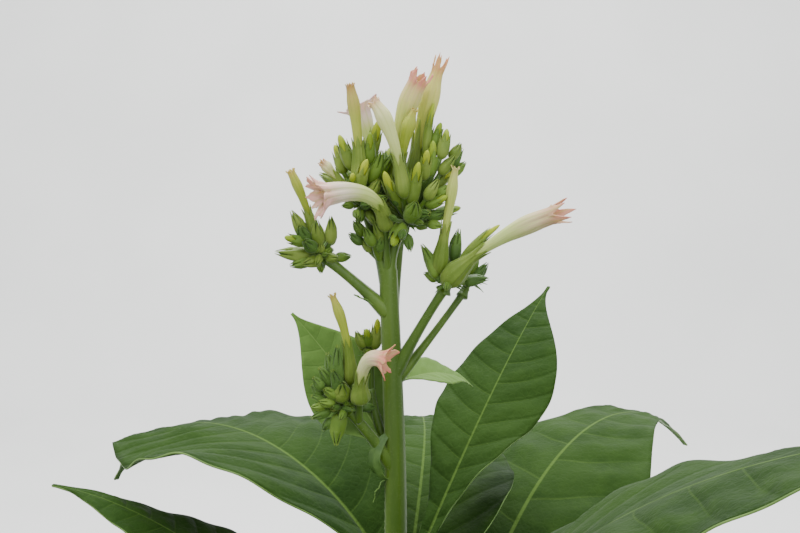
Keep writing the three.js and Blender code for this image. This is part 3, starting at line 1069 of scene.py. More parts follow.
LEAF_COUNT = 22
FIRST_AZIMUTH = 86.0
LONGEST_LEAF = 540.0
FIRST_LOWER_LEAF = 430.0
LAST_LOWER_LEAF = PLANT_TOP - 115.0
LEAF_TURNS = (-6, 17, -6, 24, 0, 21, -16, 0, 0)
SEEN_LEAVES = (0, 1, 2, 3, 5, 8)
UPPER_LEAVES: tuple[dict[str, float], ...] = (
    {"below": 238, "length": 232, "width": 84, "rise": 37, "drop": 83, "sway": 20, "waist": 1.5},
    {"below": 254, "length": 300, "width": 100, "rise": 56, "drop": 60},
    {"below": 268, "length": 174, "width": 58, "rise": 50, "drop": 46},
    {"below": 213, "length": 176, "width": 50, "rise": 44, "drop": 24, "sway": 6, "widest": 0.6,
     "waist": 3.2},
    {"below": 312, "length": 360, "width": 128, "rise": 36, "drop": 84},
    {"below": 202, "length": 218, "width": 104, "rise": 56, "drop": 108, "bend": 0.8, "sway": -6,
     "roll": 4, "waist": 1.35},
    {"below": 348, "length": 410, "width": 150, "rise": 38, "drop": 84},
    {"below": 368, "length": 440, "width": 166, "rise": 40, "drop": 86},
    {"below": 396, "length": 432, "width": 130, "rise": 68, "drop": 114, "sway": -22, "waist": 1.4},
)


def leaf_by_rule(index: int) -> dict[str, float]:
    """Work out a lower leaf's place, size and habit.

    Args:
        index: The leaf's number from the top, from 0.

    Returns:
        The leaf's sizes by name.
    """
    first = len(UPPER_LEAVES)
    share = (index - first) / (LEAF_COUNT - 1 - first)
    length = LONGEST_LEAF - 70 * (1 - share) ** 3 - 90 * max(0.0, share - 0.55)
    return {
        "below": lerp(FIRST_LOWER_LEAF, LAST_LOWER_LEAF, share),
        "length": length,
        "width": length * lerp(0.42, 0.52, share),
        "rise": lerp(44, 20, share) + 6 * (scatter(index) - 0.5),
        "drop": lerp(86, 62, share) + 8 * (scatter(index, 1) - 0.5),
        "sway": 24 * (scatter(index, 2) - 0.5),
    }


def stem_leaves() -> list[Leaf]:
    """List the large leaves, on the plant's spiral.

    Returns:
        The leaves from the top down.
    """
    leaves = []
    for index in range(LEAF_COUNT):
        upper = index < len(UPPER_LEAVES)
        sizes = {**UPPER_LEAVES[index]} if upper else leaf_by_rule(index)
        turned = LEAF_TURNS[index] if upper else 0
        sizes["azimuth"] = (FIRST_AZIMUTH + GOLDEN_ANGLE * index + turned) % 360.0
        if index in SEEN_LEAVES:
            sizes.update(columns=40, rows=130)
        leaves.append(Leaf(name=f"leaf_{index + 1:02d}", **sizes))
    return leaves


def small_leaves() -> list[Leaf]:
    """List the small leaves at the joints of the flower head.

    Returns:
        The leaves.
    """
    fine = {"wave": 0.4, "rib": 0.3, "fold_foot": 20.0, "fold_tip": 6.0, "columns": 18, "rows": 60,
            "thickness": 0.35, "veins": 9.0}
    plain = {**fine, "veins": 3.0}
    return [
        Leaf("bract_left", 150, 152, 64, 34, 55, 10, sway=16, roll=-62, **fine),
        Leaf("bract_right", 123, 40, 40, 17, 6, 50, sway=-6, roll=22, **fine),
        Leaf("bract_curled", 160, 214, 30, 4.6, 8, -190, bend=0.9, roll=35, **plain),
        Leaf("bract_hanging", 159, 196, 12, 4.5, -50, 20, roll=40, **plain),
        Leaf("bract_upper_left", 95, 196, 13, 3.4, 34, 10, **plain),
    ]


@dataclass(frozen=True)
class Stalk:
    """A bare side stalk from the stem to just short of its cluster."""

    name: str
    start: Point
    bend: Point
    end: Point
    radii: Pair

    def build(self, stem: Stem, bar: Pattern, finish: Material) -> None:
        """Bend a tapering bar along the stalk's line, from the middle of the stem.

        Args:
            stem: The stem that the stalk leaves.
            bar: The straight bar that every stalk is copied from.
            finish: The stalk's material.
        """
        root = stem.centre(PLANT_TOP - self.start[2] - 5.0)[0]
        bend, end = in_head(self.bend), in_head(self.end)
        line = Line(root, bend, end + 2.0 * unit(end - bend))
        stock = Stock(f"{self.name}_skin")
        stock.add(bar, bar.limb(line, self.radii, (0.5, 0.3), knuckle=0.15, flutes=0.03))
        ride(stock.piece([finish]), "stem", self.name)


STALKS = (
    Stalk("stalk_upper_left", (-5, -1, 92), (-14, -3, 84), (-25, -4, 75.5), (2.1, 1.7)),
    Stalk("stalk_right", (0, -1, 116), (9, -2, 100), (17.5, -3.6, 86.5), (1.9, 1.6)),
    Stalk("stalk_right_second", (1, 1, 119), (15, 3, 104), (25, 6, 90), (1.5, 1.2)),
    Stalk("stalk_lower_left", (-2, -1, 152), (-10, -4, 141), (-17.6, -5.6, 131.6), (2.1, 1.8)),
    Stalk("stalk_lower_left_second", (-2, 1, 152), (-8, 5, 140), (-9.4, 6, 129), (1.9, 1.4)),
    Stalk("stalk_rear", (-2, 2, 101), (0, 11, 88), (2, 17, 67), (1.7, 1.3)),
)


class PetalTint(Enum):
    """The colours that a corolla comes in, by its age."""

    CREAM_PINK = "petal_cream_pink"
    YELLOW = "petal_yellow"
    WHITE = "petal_white"
    PINK = "petal_pink"
    LILAC = "petal_lilac"
    TOP_PINK = "petal_top_pink"
    TOP_YELLOW = "petal_top_yellow"
    SALMON = "petal_salmon"
    WITHERED = "petal_withered"
    PALE = "petal_pale"


PETAL_FINISHES = {
    PetalTint.CREAM_PINK: PetalFinish(),
    PetalTint.YELLOW: PetalFinish(
        (116, 138, 38), (144, 158, 54), (158, 165, 66), (184, 166, 86), (178, 140, 74)),
    PetalTint.PALE: PetalFinish(
        (138, 158, 58), (170, 183, 88), (180, 188, 100), (184, 176, 108), (186, 156, 106)),
    PetalTint.WHITE: PetalFinish(
        (170, 186, 98), (196, 203, 130), (204, 200, 146), (204, 168, 136), (190, 130, 104)),
    PetalTint.PINK: PetalFinish(
        (140, 166, 62), (186, 198, 120), (214, 198, 176), (214, 168, 158), (203, 144, 134)),
    PetalTint.SALMON: PetalFinish(
        (172, 188, 102), (208, 206, 152), (212, 182, 150), (210, 138, 116), (193, 106, 90)),
    PetalTint.LILAC: PetalFinish(throat=(212, 194, 188), lobe=(211, 179, 184), tip=(194, 145, 149)),
    PetalTint.TOP_PINK: PetalFinish(
        (160, 178, 70), (190, 197, 108), (200, 184, 124), (194, 130, 112), (180, 104, 96)),
    PetalTint.TOP_YELLOW: PetalFinish(
        (155, 172, 62), (187, 192, 92), (197, 190, 108), (193, 140, 100), (172, 102, 82)),
    PetalTint.WITHERED: PetalFinish(
        (133, 152, 58), (164, 172, 74), (174, 158, 88), (160, 116, 72), (179, 158, 90)),
}


@dataclass(frozen=True)
class Flower:
    """A tube flower on a bent line, from its foot in its calyx to its mouth."""

    name: str
    cluster: str
    foot: Point
    bend: Point
    mouth: Point
    calyx: float
    cup: float
    tube: tuple[float, float, float]
    lobe: Pair
    tint: PetalTint
    start: Point | None = None
    stamens: bool = False
    throat: float = 0.97
    frill: float = 0.3
    point: float = 1.3
    joined: float = 0.16
    sides: int = 60
    rings: int = 26
    lip_rows: int = 8
    thickness: float = 0.3
    teeth: float = 1.0

    def line(self) -> Line:
        """Give the flower's line."""
        return Line(in_head(self.foot), in_head(self.bend), in_head(self.mouth))

    def radius(self, share: Array) -> Array:
        """Give the tube's radius.

        Args:
            share: Shares of the line.

        Returns:
            The radii.
        """
        foot, widest, mouth = self.tube
        grown = partial(lerp, self.calyx, self.throat)
        keys = [
            (CUP_FLOOR, foot * 0.8),
            (self.calyx + 0.02, foot),
            (grown(0.35), lerp(foot, widest, 0.4)),
            (grown(0.74), widest),
            (grown(0.92), lerp(widest, mouth, 0.8)),
            (self.throat, mouth),
        ]
        return through(keys, share)

    def build(self, finishes: dict[PetalTint, Material], seed: int) -> None:
        """Model the corolla: a tube that swells to its throat and opens in five pointed lobes.

        Args:
            finishes: The petal materials by tint.
            seed: What makes this flower's ruffles its own.
        """
        line = self.line()
        length = line.length()
        start = CUP_FLOOR + 0.3 / length
        heights = np.linspace(start, self.throat, self.rings)
        rings = [(float(radius), float(height)) for radius, height in zip(self.radius(heights), heights)]
        rings += [(self.tube[2], self.throat + LIP_STEP * (row + 1)) for row in range(self.lip_rows)]
        made = tube(f"corolla_{self.name}_petals", self.sides, rings)
        mesh = made.data
        flat = read(mesh.vertices, "co", 3)
        angle, radius = polar(flat)
        up = flat[:, 2]
        out = np.clip((up - self.throat) / (LIP_STEP * self.lip_rows), 0, 1)
        part = fivefold(angle)
        star = self.joined + (1 - self.joined) * part**self.point
        reach, opening = self.lobe
        uneven = 1 + 0.16 * np.sin(angle + seed) + 0.1 * np.sin(2 * angle + 2 * seed)
        tilt = math.radians(opening) * (0.45 + 0.55 * out) * uneven
        slip = out * star * reach * (1 + 0.12 * np.sin(2 * angle + seed))
        crimp = np.sin(angle * 10 + seed) + 0.5 * np.sin(angle * 23 + seed * 2)
        crimp = (crimp + 0.4 * np.sin(7 * out + 4 * angle)) * self.frill * out * (0.4 + 0.6 * (1 - part))
        grown = smooth(up, lerp(self.calyx, self.throat, 0.3), self.throat)
        folds = 1 - (0.13 * (1 - part) ** 3 - 0.03 * part**6) * grown * (1 - out)
        folds = folds * (1 + 0.012 * np.sin(9 * angle + 14 * up + seed))
        radius = radius * folds + slip * np.sin(tilt) + crimp
        hollow = 0.1 * reach * out**2 * (1 - part)
        ahead = np.minimum(up, self.throat) + (slip * np.cos(tilt) + hollow + 0.6 * crimp) / length
        put_corners(mesh, line.carry(around(angle, radius, ahead)) * MM)
        tube_share = (up - start) / (self.throat - start)
        along = np.where(out > 0, lerp(TUBE_CHART, 1.0, out * star), tube_share * TUBE_CHART)
        lay_chart(mesh, "petal", (angle / math.tau) % 1.0, along)
        mesh.materials.append(finishes[self.tint])
        thicken(made, self.thickness * MM)
        shade_smooth(mesh)
        ride(made, "petal", f"corolla_{self.name}")

    def stamen_places(self) -> list[tuple[Array, Array]]:
        """Place the pollen sacs in the mouth.

        Returns:
            Each sac's place and the way it points.
        """
        line = self.line()
        found = []
        for count in range(LOBES):
            angle = math.tau * count / LOBES + 0.4
            share = self.throat - 0.02 + 0.04 * scatter(count + 1)
            local = around(np.array([angle]), self.tube[2] * 0.5, np.array([share]))
            found.append((line.carry(local)[0], line.tangent(1.0)[0]))
        return found


FLOWERS = (
    Flower("right_long", "right", (17, -5, 85), (33, -10, 65), (57, -20, 56), 0.36, 4.2, (1.6, 3.45, 3.1),
           (7.6, 12), PetalTint.CREAM_PINK, stamens=True, throat=0.91, point=1.5),
    Flower("right_upright", "right", (15, -4, 81), (18, -6, 62), (21, -6, 42), 0.42, 2.9, (1.3, 2.0, 1.1),
           (1.4, 24), PetalTint.PALE, teeth=1.3),
    Flower("top_right", "top_right", (6.5, 3, 52), (8, 4, 30), (15.5, 6, 7), 0.36, 4.1, (2.5, 3.5, 2.2),
           (6.4, 4), PetalTint.TOP_YELLOW, throat=0.94, point=1.7, teeth=1.9),
    Flower("top_centre", "top_left", (-1, 1, 50), (0, 0, 26), (8, -2, 12), 0.3, 2.9, (1.9, 3.8, 3.4),
           (5.6, 2), PetalTint.TOP_PINK, stamens=True, throat=0.95, frill=0.45),
    Flower("top_slender", "top_right", (1, -4, 47), (2, -6, 33), (6.5, -7, 22), 0.3, 2.3, (1.5, 2.35, 1.1),
           (1.2, 0), PetalTint.YELLOW),
    Flower("curved_white", "top_right", (3, -8, 53), (0, -13, 28), (-7.5, -10, 19.5), 0.28, 2.6,
           (1.6, 2.8, 2.0), (2.2, 20), PetalTint.WHITE, teeth=1.3),
    Flower("back_pink", "top_left", (-8, 8, 47), (-9, 11, 33), (-13, 14, 24), 0.4, 2.5, (1.5, 3.4, 3.8),
           (6.4, 56), PetalTint.LILAC, stamens=True, frill=0.5, joined=0.4),
    Flower("left_upright", "top_left", (-13, -5, 50), (-12.5, -6, 30), (-16, -7, 13), 0.42, 2.8,
           (1.6, 2.2, 1.5), (1.2, 10), PetalTint.WITHERED),
    Flower("small_pink", "top_left", (-17, -2, 54), (-20.5, -3, 46), (-26, -6, 40.5), 0.6, 2.4,
           (1.4, 2.0, 1.5), (1.4, -10), PetalTint.WHITE),
    Flower("nodding", "top_left", (-3.5, -6, 65), (-4.5, -13, 46), (-24, -24, 49.5), 0.31, 2.9,
           (2.0, 3.4, 4.0), (5.6, 30), PetalTint.PINK, start=(-3, -0.4, 84), stamens=True, frill=1.7,
           point=1.2, joined=0.66, lip_rows=12),
    Flower("upper_left_tube", "upper_left", (-28.5, -5, 69), (-31, -7, 56), (-37, -8, 43), 0.42, 2.2,
           (1.2, 1.8, 1.4), (1.3, 15), PetalTint.YELLOW),
    Flower("lower_left_tube", "lower_left", (-17, -6, 122), (-16, -7, 104), (-23, -7, 88), 0.45, 2.6,
           (1.4, 1.9, 1.2), (1.6, 18), PetalTint.YELLOW),
    Flower("lower_left_open", "lower_left", (-13, -10, 128), (-13.5, -16, 106), (-5, -19, 108.5), 0.25, 3.5,
           (1.9, 2.8, 3.0), (5.6, 40), PetalTint.SALMON, start=(-14, -5, 136), stamens=True, frill=1.0,
           point=1.5, joined=0.4),
)


class BudKind(Enum):
    """The stages of a bud."""

    CLOSED = "closed"
    OPENING = "opening"
    CAPSULE = "capsule"


class Tint(Enum):
    """The buds' finishes, by their numbers: three greens, dealt spray by spray, and what they share."""

    DARK = 0
    MID = 1
    LIGHT = 2
    FIRST_PETAL = 3
    STALK = 6
    TIP = 7
    DEEP = 8


@dataclass(frozen=True)
class BudForm:
    """A bud's outline, its pleats, and how far its teeth and its petals reach."""

    outline: tuple[Pair, ...]
    shoulder: float
    tooth: float
    slim: float
    pleat: float
    flare: float
    petals: tuple[Pair, ...]
    sides: int = 30

    def radius(self, height: Array, part: Array) -> Array:
        """Give the calyx's radius.

        Args:
            height: Shares of the bud's length.
            part: 1 on a tooth's keel and 0 in a valley.

        Returns:
            The radius, as a share of half the bud's width.
        """
        valley = self.pleat * smooth(height, 0.06, 0.9) * (1 - part) ** 1.7
        keel = 0.06 * bell(1 - part, 0.2) * smooth(height, 0.03, 0.2)
        rib = 0.035 * bell(part, 0.16) * (1 - smooth(height, 0.3, 0.6))
        return through(self.outline, height) * (1 - valley + keel + rib)


BUD_FORMS = {
    BudKind.CLOSED: BudForm(
        outline=((0.0, 0.26), (0.05, 0.56), (0.16, 0.86), (0.34, 1.0), (0.52, 0.93), (0.72, 0.66),
                 (0.88, 0.36), (1.0, 0.12)),
        shoulder=0.6, tooth=1.0, slim=2.1, pleat=0.3, flare=0.05,
        petals=((0.6, 0.4), (0.58, 0.6), (0.34, 0.76), (0.12, 0.88)),
    ),
    BudKind.OPENING: BudForm(
        outline=((0.0, 0.28), (0.05, 0.58), (0.15, 0.86), (0.34, 1.0), (0.52, 0.95), (0.7, 0.8),
                 (0.84, 0.7), (1.0, 0.6)),
        shoulder=0.62, tooth=0.84, slim=1.0, pleat=0.24, flare=0.07,
        petals=((0.6, 0.4), (0.64, 0.62), (0.58, 0.73), (0.52, 0.82), (0.43, 0.9), (0.28, 0.96), (0.1, 1.0)),
    ),
    BudKind.CAPSULE: BudForm(
        outline=((0.0, 0.3), (0.06, 0.7), (0.2, 0.96), (0.38, 1.0), (0.58, 0.86), (0.76, 0.56),
                 (0.9, 0.32), (1.0, 0.14)),
        shoulder=0.62, tooth=1.0, slim=2.4, pleat=0.16, flare=0.02,
        petals=((0.7, 0.4), (0.66, 0.6), (0.44, 0.74), (0.22, 0.86), (0.08, 0.92)),
    ),
}
BUD_ROWS = (0.0, 0.02, 0.05, 0.1, 0.17, 0.25, 0.34, 0.43, 0.52)
CUP_ROWS = (0.0, 0.02, 0.06, 0.12, 0.2, 0.29, 0.39, 0.5, 0.62, 0.75, 0.88, 1.0)


class BudPatterns:
    """The few shapes that all buds, cups, stalks and hubs are copied from."""

    def __init__(self) -> None:
        """Model each shape once."""
        bar = tube("bar", 16, [(1.0, step / 14) for step in range(15)])
        close(bar, 0.0, 1.0)
        self.bar = Pattern.taken_from(bar)
        self.buds = {kind: self.bud(form) for kind, form in BUD_FORMS.items()}
        self.scale = self.sheet(4, 7, self.scale_leaf, 0.08)
        knob = start(bpy.ops.mesh.primitive_uv_sphere_add, "knob", segments=14, ring_count=8, radius=1)
        move(knob, lambda places: places * (1 + 0.06 * np.cos(7 * places[:, :1] + 5 * places[:, 1:2])))
        self.knob = Pattern.taken_from(knob)
        sac = start(bpy.ops.mesh.primitive_uv_sphere_add, "sac", segments=8, ring_count=6, radius=1)
        move(sac, self.bean)
        self.sac = Pattern.taken_from(sac)

    @staticmethod
    def sheet(columns: int, rows: int, rule: Rule, thickness: float, flip: bool = False) -> Pattern:
        """Shape a flat sheet and give it its thickness.

        Args:
            columns: How many faces it has across.
            rows: How many faces it has along.
            rule: Turns its flat places into its shape.
            thickness: How thick it is, as a share of its length.
            flip: Whether its other side is its outer one.

        Returns:
            The sheet.
        """
        made = grid("sheet", columns, rows)
        move(made, rule)
        if flip:
            pick(made, "EDIT")
            bpy.ops.mesh.select_all(action="SELECT")
            bpy.ops.mesh.flip_normals()
        thicken(made, thickness)
        return Pattern.taken_from(made)

    @staticmethod
    def bean(places: Array) -> Array:
        """Lengthen a ball to a pollen sac and press its groove.

        Args:
            places: The ball's corners.

        Returns:
            Where they go.
        """
        places = places * np.array([0.45, 0.45, 1.0])
        places[:, 0] *= 1 - 0.35 * bell(places[:, 1], 0.12)
        return places

    @staticmethod
    def scale_leaf(places: Array) -> Array:
        """Narrow a flat sheet to a pointed tip, hollow it and curl it out.

        Args:
            places: The flat sheet's corners.

        Returns:
            Where they go.
        """
        up = (places[:, 1] + 1) / 2
        wide = np.sin(math.pi * (0.12 + 0.88 * up) ** 0.7) ** 0.8 * (1 - up**3) + 0.02
        hollow = 0.5 * wide * np.abs(places[:, 0]) ** 1.5
        return np.stack([places[:, 0] * wide, hollow + 1.2 * up**2 - 0.2, up], axis=-1)

    @staticmethod
    def bud(form: BudForm) -> Pattern:
        """Model a bud: a pleated calyx whose five teeth lie on the petals inside.

        Args:
            form: The bud's outline and reaches.

        Returns:
            The bud, with the calyx in finish 0, the petals in finish 1 and the teeth's tips in finish 2.
        """
        rows = [*BUD_ROWS, form.shoulder]
        outline = through(form.outline, np.array(rows))
        body = tube("calyx", form.sides, [(float(radius), row) for radius, row in zip(outline, rows)])
        close(body, 0.0)

        def pleated(places: Array) -> Array:
            """Give the calyx its keels, valleys and notched edge.

            Args:
                places: The open tube's corners.

            Returns:
                Where they go.
            """
            angle, off = polar(places)
            part = fivefold(angle)
            edge = np.abs(places[:, 2] - form.shoulder) < NUDGE
            height = places[:, 2] - edge * 0.06 * (1 - part) ** 2
            return around(angle, form.radius(places[:, 2], part) * (off > 1e-6), height)

        def furled(places: Array) -> Array:
            """Give the folded petals their turned seams.

            Args:
                places: The closed cone's corners.

            Returns:
                Where they go.
            """
            seam = fivefold(polar(places)[0] + 1.6 * places[:, 2])[:, None]
            return np.hstack([places[:, :2] * (1 - 0.16 * (1 - seam) ** 2), places[:, 2:]])

        move(body, pleated)
        whole = Pattern.taken_from(body)
        for count in range(LOBES):
            whole = whole.joined(BudPatterns.tooth(count, form), 0)
        whole = whole.tipped(form.tooth - 0.09, 2)
        petals = tube("petals", 20, form.petals)
        close(petals, form.petals[-1][1])
        move(petals, furled)
        return whole.joined(Pattern.taken_from(petals), 1)

    @staticmethod
    def tooth(count: int, form: BudForm) -> Pattern:
        """Model one calyx tooth as a narrow keeled blade that follows the bud's outline.

        Args:
            count: Which tooth it is.
            form: The bud's outline and reaches.

        Returns:
            The tooth.
        """

        def wrapped(places: Array) -> Array:
            """Wrap the flat blade round the bud.

            Args:
                places: The flat blade's corners.

            Returns:
                Where they go.
            """
            up = (places[:, 1] + 1) / 2
            height = lerp(form.shoulder - 0.05, form.tooth, up)
            narrow = (1 - up**form.slim) * 0.97 + 0.03
            part = 1 - np.abs(places[:, 0]) * narrow
            radius = form.radius(height, part) + form.flare * up**3 + 0.025
            angle = math.tau * count / LOBES - places[:, 0] * narrow * math.pi / LOBES
            return around(angle, radius, height - 0.05 * (1 - part) * (1 - up))

        return BudPatterns.sheet(6, 7, wrapped, 0.05, flip=True)

    @staticmethod
    def cup(rim: float, tooth: float, teeth: int = 8) -> Pattern:
        """Model an open calyx of radius 1 with five free teeth.

        Args:
            rim: The radius at the mouth, as a share of the widest.
            tooth: A tooth's length as a share of the calyx's.
            teeth: How many rows of faces the teeth have.

        Returns:
            The cup, whose z runs to 1 at its sinuses, with the teeth's tips in finish 1.
        """
        keys = [(0.0, 0.26), (0.05, 0.55), (0.17, 0.88), (0.38, 1.0), (0.62, lerp(1.0, rim, 0.4)),
                (0.84, lerp(1.0, rim, 0.85)), (1.0, rim)]
        rings = [(float(radius), row) for radius, row in zip(through(keys, np.array(CUP_ROWS)), CUP_ROWS)]
        rings += [(rim, 1.0 + LIP_STEP * step) for step in range(1, teeth + 1)]
        made = tube("cup", 50, rings)
        close(made, 0.0)

        def shaped(places: Array) -> Array:
            """Give the cup its ribs and teeth.

            Args:
                places: The open tube's corners.

            Returns:
                Where they go.
            """
            angle, radius = polar(places)
            up = places[:, 2]
            out = np.clip((up - 1.0) / (LIP_STEP * teeth), 0, 1)
            part = fivefold(angle)
            keel = 0.15 * bell(1 - part, 0.16)
            rib = 0.09 * bell(part, 0.14) * (1 - 0.8 * out)
            valley = 0.14 * smooth(up, 0.3, 1.0) * (1 - part) ** 2 * (part > 0.1)
            radius = radius * (1 + (keel + rib - valley) * smooth(up, 0.04, 0.22))
            wander = np.sin(3 * angle + 1.0) * 0.12 * out**2 * tooth
            return around(angle, radius, np.minimum(up, 1.0) + out * tooth * part**1.15 + wander * part)

        move(made, shaped)
        thicken(made, 0.08)
        return Pattern.taken_from(made).tipped(1.0 + 0.72 * tooth, 1)


@dataclass(frozen=True)
class Cluster:
    """A cyme: a hub with buds, capsules and the cups of its flowers round it.

    A bud is given by its tip, its length and, where it is stout, its width.
    """

    name: str
    hub: Point
    arm: tuple[Point, float]
    rear: int
    reach: float
    rise: float
    tips: tuple[Tip, ...] = ()
    young: int = 12
    root: float | None = None
    opening: float = 0.15
    dark: float = 0.55
    light: float = 0.12
    fork: Point = (0, 0, 0)
    fork_tips: tuple[Tip, ...] = ()
    knob: float = 2.3
    half_grown: float = 9.0
    full_grown: float = 16.0
    capsule_width: float = 5.8
    ripe_width: float = 6.5

    def out_from_hub(self, azimuth: float, level: float, up: float) -> Point:
        """Give the place that lies level away from the hub at an azimuth, and up above it."""
        x, y, below = self.hub
        return x + level * math.cos(azimuth), y + level * math.sin(azimuth), below - up

    def rear_tips(self) -> list[Tip]:
        """Spread the buds that face back over that half, by an even scatter.

        Returns:
            Their tips and lengths.
        """
        tips = []
        for count in range(1, self.rear + 1):
            azimuth = math.radians(lerp(8, 172, scatter(count)))
            elevation = math.radians(self.rise + 70 * (scatter(count, 1) - 0.5))
            reach = self.reach * lerp(0.78, 1.08, scatter(count, 2))
            tip = self.out_from_hub(azimuth, reach * math.cos(elevation), reach * math.sin(elevation))
            tips.append((*tip, reach * lerp(0.5, 0.62, scatter(count, 3))))
        return tips

    def young_tips(self) -> list[Tip]:
        """Fill the cluster between its larger buds with young ones, by a golden spiral.

        Returns:
            Their tips, lengths and widths.
        """
        tips = []
        for count in range(self.young):
            up = lerp(-0.35, 0.95, (count + 0.5) / self.young)
            azimuth = math.radians(GOLDEN_ANGLE * count + 40.0)
            reach = self.reach * lerp(0.42, 0.74, scatter(count + 3, 2))
            length = min(lerp(4.5, 7.5, scatter(count + 1, 1)), reach * 0.9)
            tip = self.out_from_hub(azimuth, reach * math.sqrt(1 - up * up), reach * up)
            tips.append((*tip, length, lerp(1.9, 3.0, scatter(count + 2, 3))))
        return tips

    def stage(self, length: float, width: float, dice: float) -> tuple[BudKind, Tint]:
        """Choose a bud's stage and green from its size.

        Args:
            length: The bud's length.
            width: The bud's width.
            dice: An even chance from 0 to 1.

        Returns:
            The stage and the green.
        """
        if width >= self.capsule_width:
            return BudKind.CAPSULE, Tint.LIGHT if width > self.ripe_width else Tint.MID
        if length >= self.full_grown:
            return BudKind.OPENING, Tint.LIGHT
        if length >= self.half_grown and dice < self.opening:
            return BudKind.OPENING, Tint.LIGHT if dice < 0.5 * self.opening else Tint.MID
        if dice > 1 - self.light:
            return BudKind.CLOSED, Tint.LIGHT
        return BudKind.CLOSED, Tint.DARK if dice < self.dark else Tint.MID

    def build(self, stem: Stem, patterns: BudPatterns, finishes: Sequence[Material], seed: int) -> Body:
        """Join the cluster's buds, cups and stalks.

        Args:
            stem: The stem that a cluster at its top grows from.
            patterns: The shapes to copy.
            finishes: The materials, in the order of Tint.
            seed: What makes this cluster's turns and bends its own.

        Returns:
            The joined mass.
        """
        hub = in_head(self.hub)
        mass = Mass(self, patterns, hub, np.random.default_rng(seed), Stock(f"buds_{self.name}_mass"))
        foot = in_head(self.arm[0])
        arm = Line.straight(foot - (hub - foot) * 0.5, hub)
        if self.root:
            arm = Line(stem.centre(PLANT_TOP - self.root)[0], foot, hub)
        mass.limb(arm, self.arm[1], 1.55, 1.1, 0.35)
        mass.stock.add(patterns.knob, patterns.knob.places * self.knob + hub, (Tint.STALK.value,))
        for tip in [*self.tips, *self.rear_tips(), *self.young_tips()]:
            mass.bud(hub, tip)
        for tip in self.fork_tips:
            mass.bud(in_head(self.fork), tip)
        mass.scales()
        for flower in FLOWERS:
            if flower.cluster == self.name:
                mass.calyx(flower)
        return ride(mass.stock.piece(finishes), "buds", f"buds_{self.name}")


@dataclass(frozen=True)
class Mass:
    """A cluster while it grows: its joined mesh, the shapes to copy and its seeded chance."""

    cluster: Cluster
    patterns: BudPatterns
    hub: Array
    dice: np.random.Generator
    stock: Stock
    scale_count: int = 9
    shortest_stalk: float = 1.2

    def scales(self) -> None:
        """Stand small pointed leaves round the hub, where its pedicels part."""
        scale = self.patterns.scale
        for count in range(self.scale_count):
            azimuth = math.radians(GOLDEN_ANGLE * count)
            way = unit(np.array([math.cos(azimuth), math.sin(azimuth), self.dice.uniform(-0.5, 0.5)]))
            length = self.dice.uniform(3.4, 6.2)
            side = unit(np.cross(way, np.array([0.0, 0.0, 1.0])))
            local = scale.places * np.array([length * 0.19, length * 0.22, length])
            places = self.hub + way * 1.6 + side * local[:, :1]
            places = places - np.cross(side, way) * local[:, 1:2] + way * local[:, 2:3]
            self.stock.add(scale, places, (Tint.DARK.value,))

    def limb(self, line: Line, thick: float, start: float, end: float, flare: float = 0.3) -> None:
        """Add a tapering stalk.

        Args:
            line: The stalk's line.
            thick: Its radius.
            start: How much of that it has where it starts.
            end: How much of that it has where it ends.
            flare: How much wider it is at its very start, as a share.
        """
        places = self.patterns.bar.limb(line, (thick * start, thick * end), (flare, 0.25))
        self.stock.add(self.patterns.bar, places, (Tint.STALK.value,))

    def bud(self, hub: Array, tip: Tip) -> None:
        """Add one bud and its pedicel.

        Args:
            hub: Where its pedicel starts.
            tip: The bud's tip, length and, where it is stout, width.
        """
        length = tip[3]
        width = tip[4] if len(tip) > 4 else 2.5 + 0.17 * length
        end = in_head(tip[:3])
        outward = unit(unit(end - hub) + self.dice.normal(size=3) * 0.1)
        foot = end - outward * length
        kind, tint = self.cluster.stage(length, width, float(self.dice.random()))
        pattern = self.patterns.buds[kind]
        spin = self.dice.uniform(0, math.tau)
        stout = 1.02 if kind is BudKind.CAPSULE else 1.06
        angle, off = polar(pattern.places)
        local = around(angle + spin, off * (width / 2 * stout), pattern.places[:, 2])
        sag = unit(np.cross(outward, self.dice.normal(size=3))) * length * 0.09
        inside = Tint.FIRST_PETAL.value + tint.value if kind is BudKind.OPENING else Tint.DEEP.value
        places = Line(foot, (foot + end) / 2 + sag, end).carry(local)
        self.stock.add(pattern, places, (tint.value, inside, Tint.TIP.value))
        if np.linalg.norm(foot - hub) > self.shortest_stalk:
            middle = (hub + foot) / 2 + sag * 0.8 + np.array([0, 0, -0.8])
            joint = foot + outward * length * 0.06
            self.limb(Line(hub, middle, joint), 0.55 + 0.045 * length, 1.15, 0.85)

    def calyx(self, flower: Flower) -> None:
        """Add a flower's cup and its pedicel, or its two pedicels.

        Args:
            flower: The flower that the cup holds.
        """
        line = flower.line()
        sinus = flower.calyx * 0.9
        tooth = (1.35 * flower.cup + 0.6) * flower.teeth
        mouth = float(flower.radius(np.array([sinus]))[0])
        cup = self.patterns.cup(min((mouth + 0.5) / flower.cup, 0.95), tooth / (sinus * line.length()))
        share = cup.places[:, 2] * sinus
        angle, off = polar(cup.places)
        radius = off * flower.cup + np.where(share > sinus, flower.radius(share) - mouth, 0.0)
        self.stock.add(cup, line.carry(around(angle, radius, share)), (Tint.LIGHT.value, Tint.TIP.value))
        foot = line.point(0.04)[0]
        for start in [self.hub] + ([in_head(flower.start)] if flower.start else []):
            self.limb(Line.straight(start, foot), 0.7 + 0.16 * flower.cup, 1.1, 1.0)


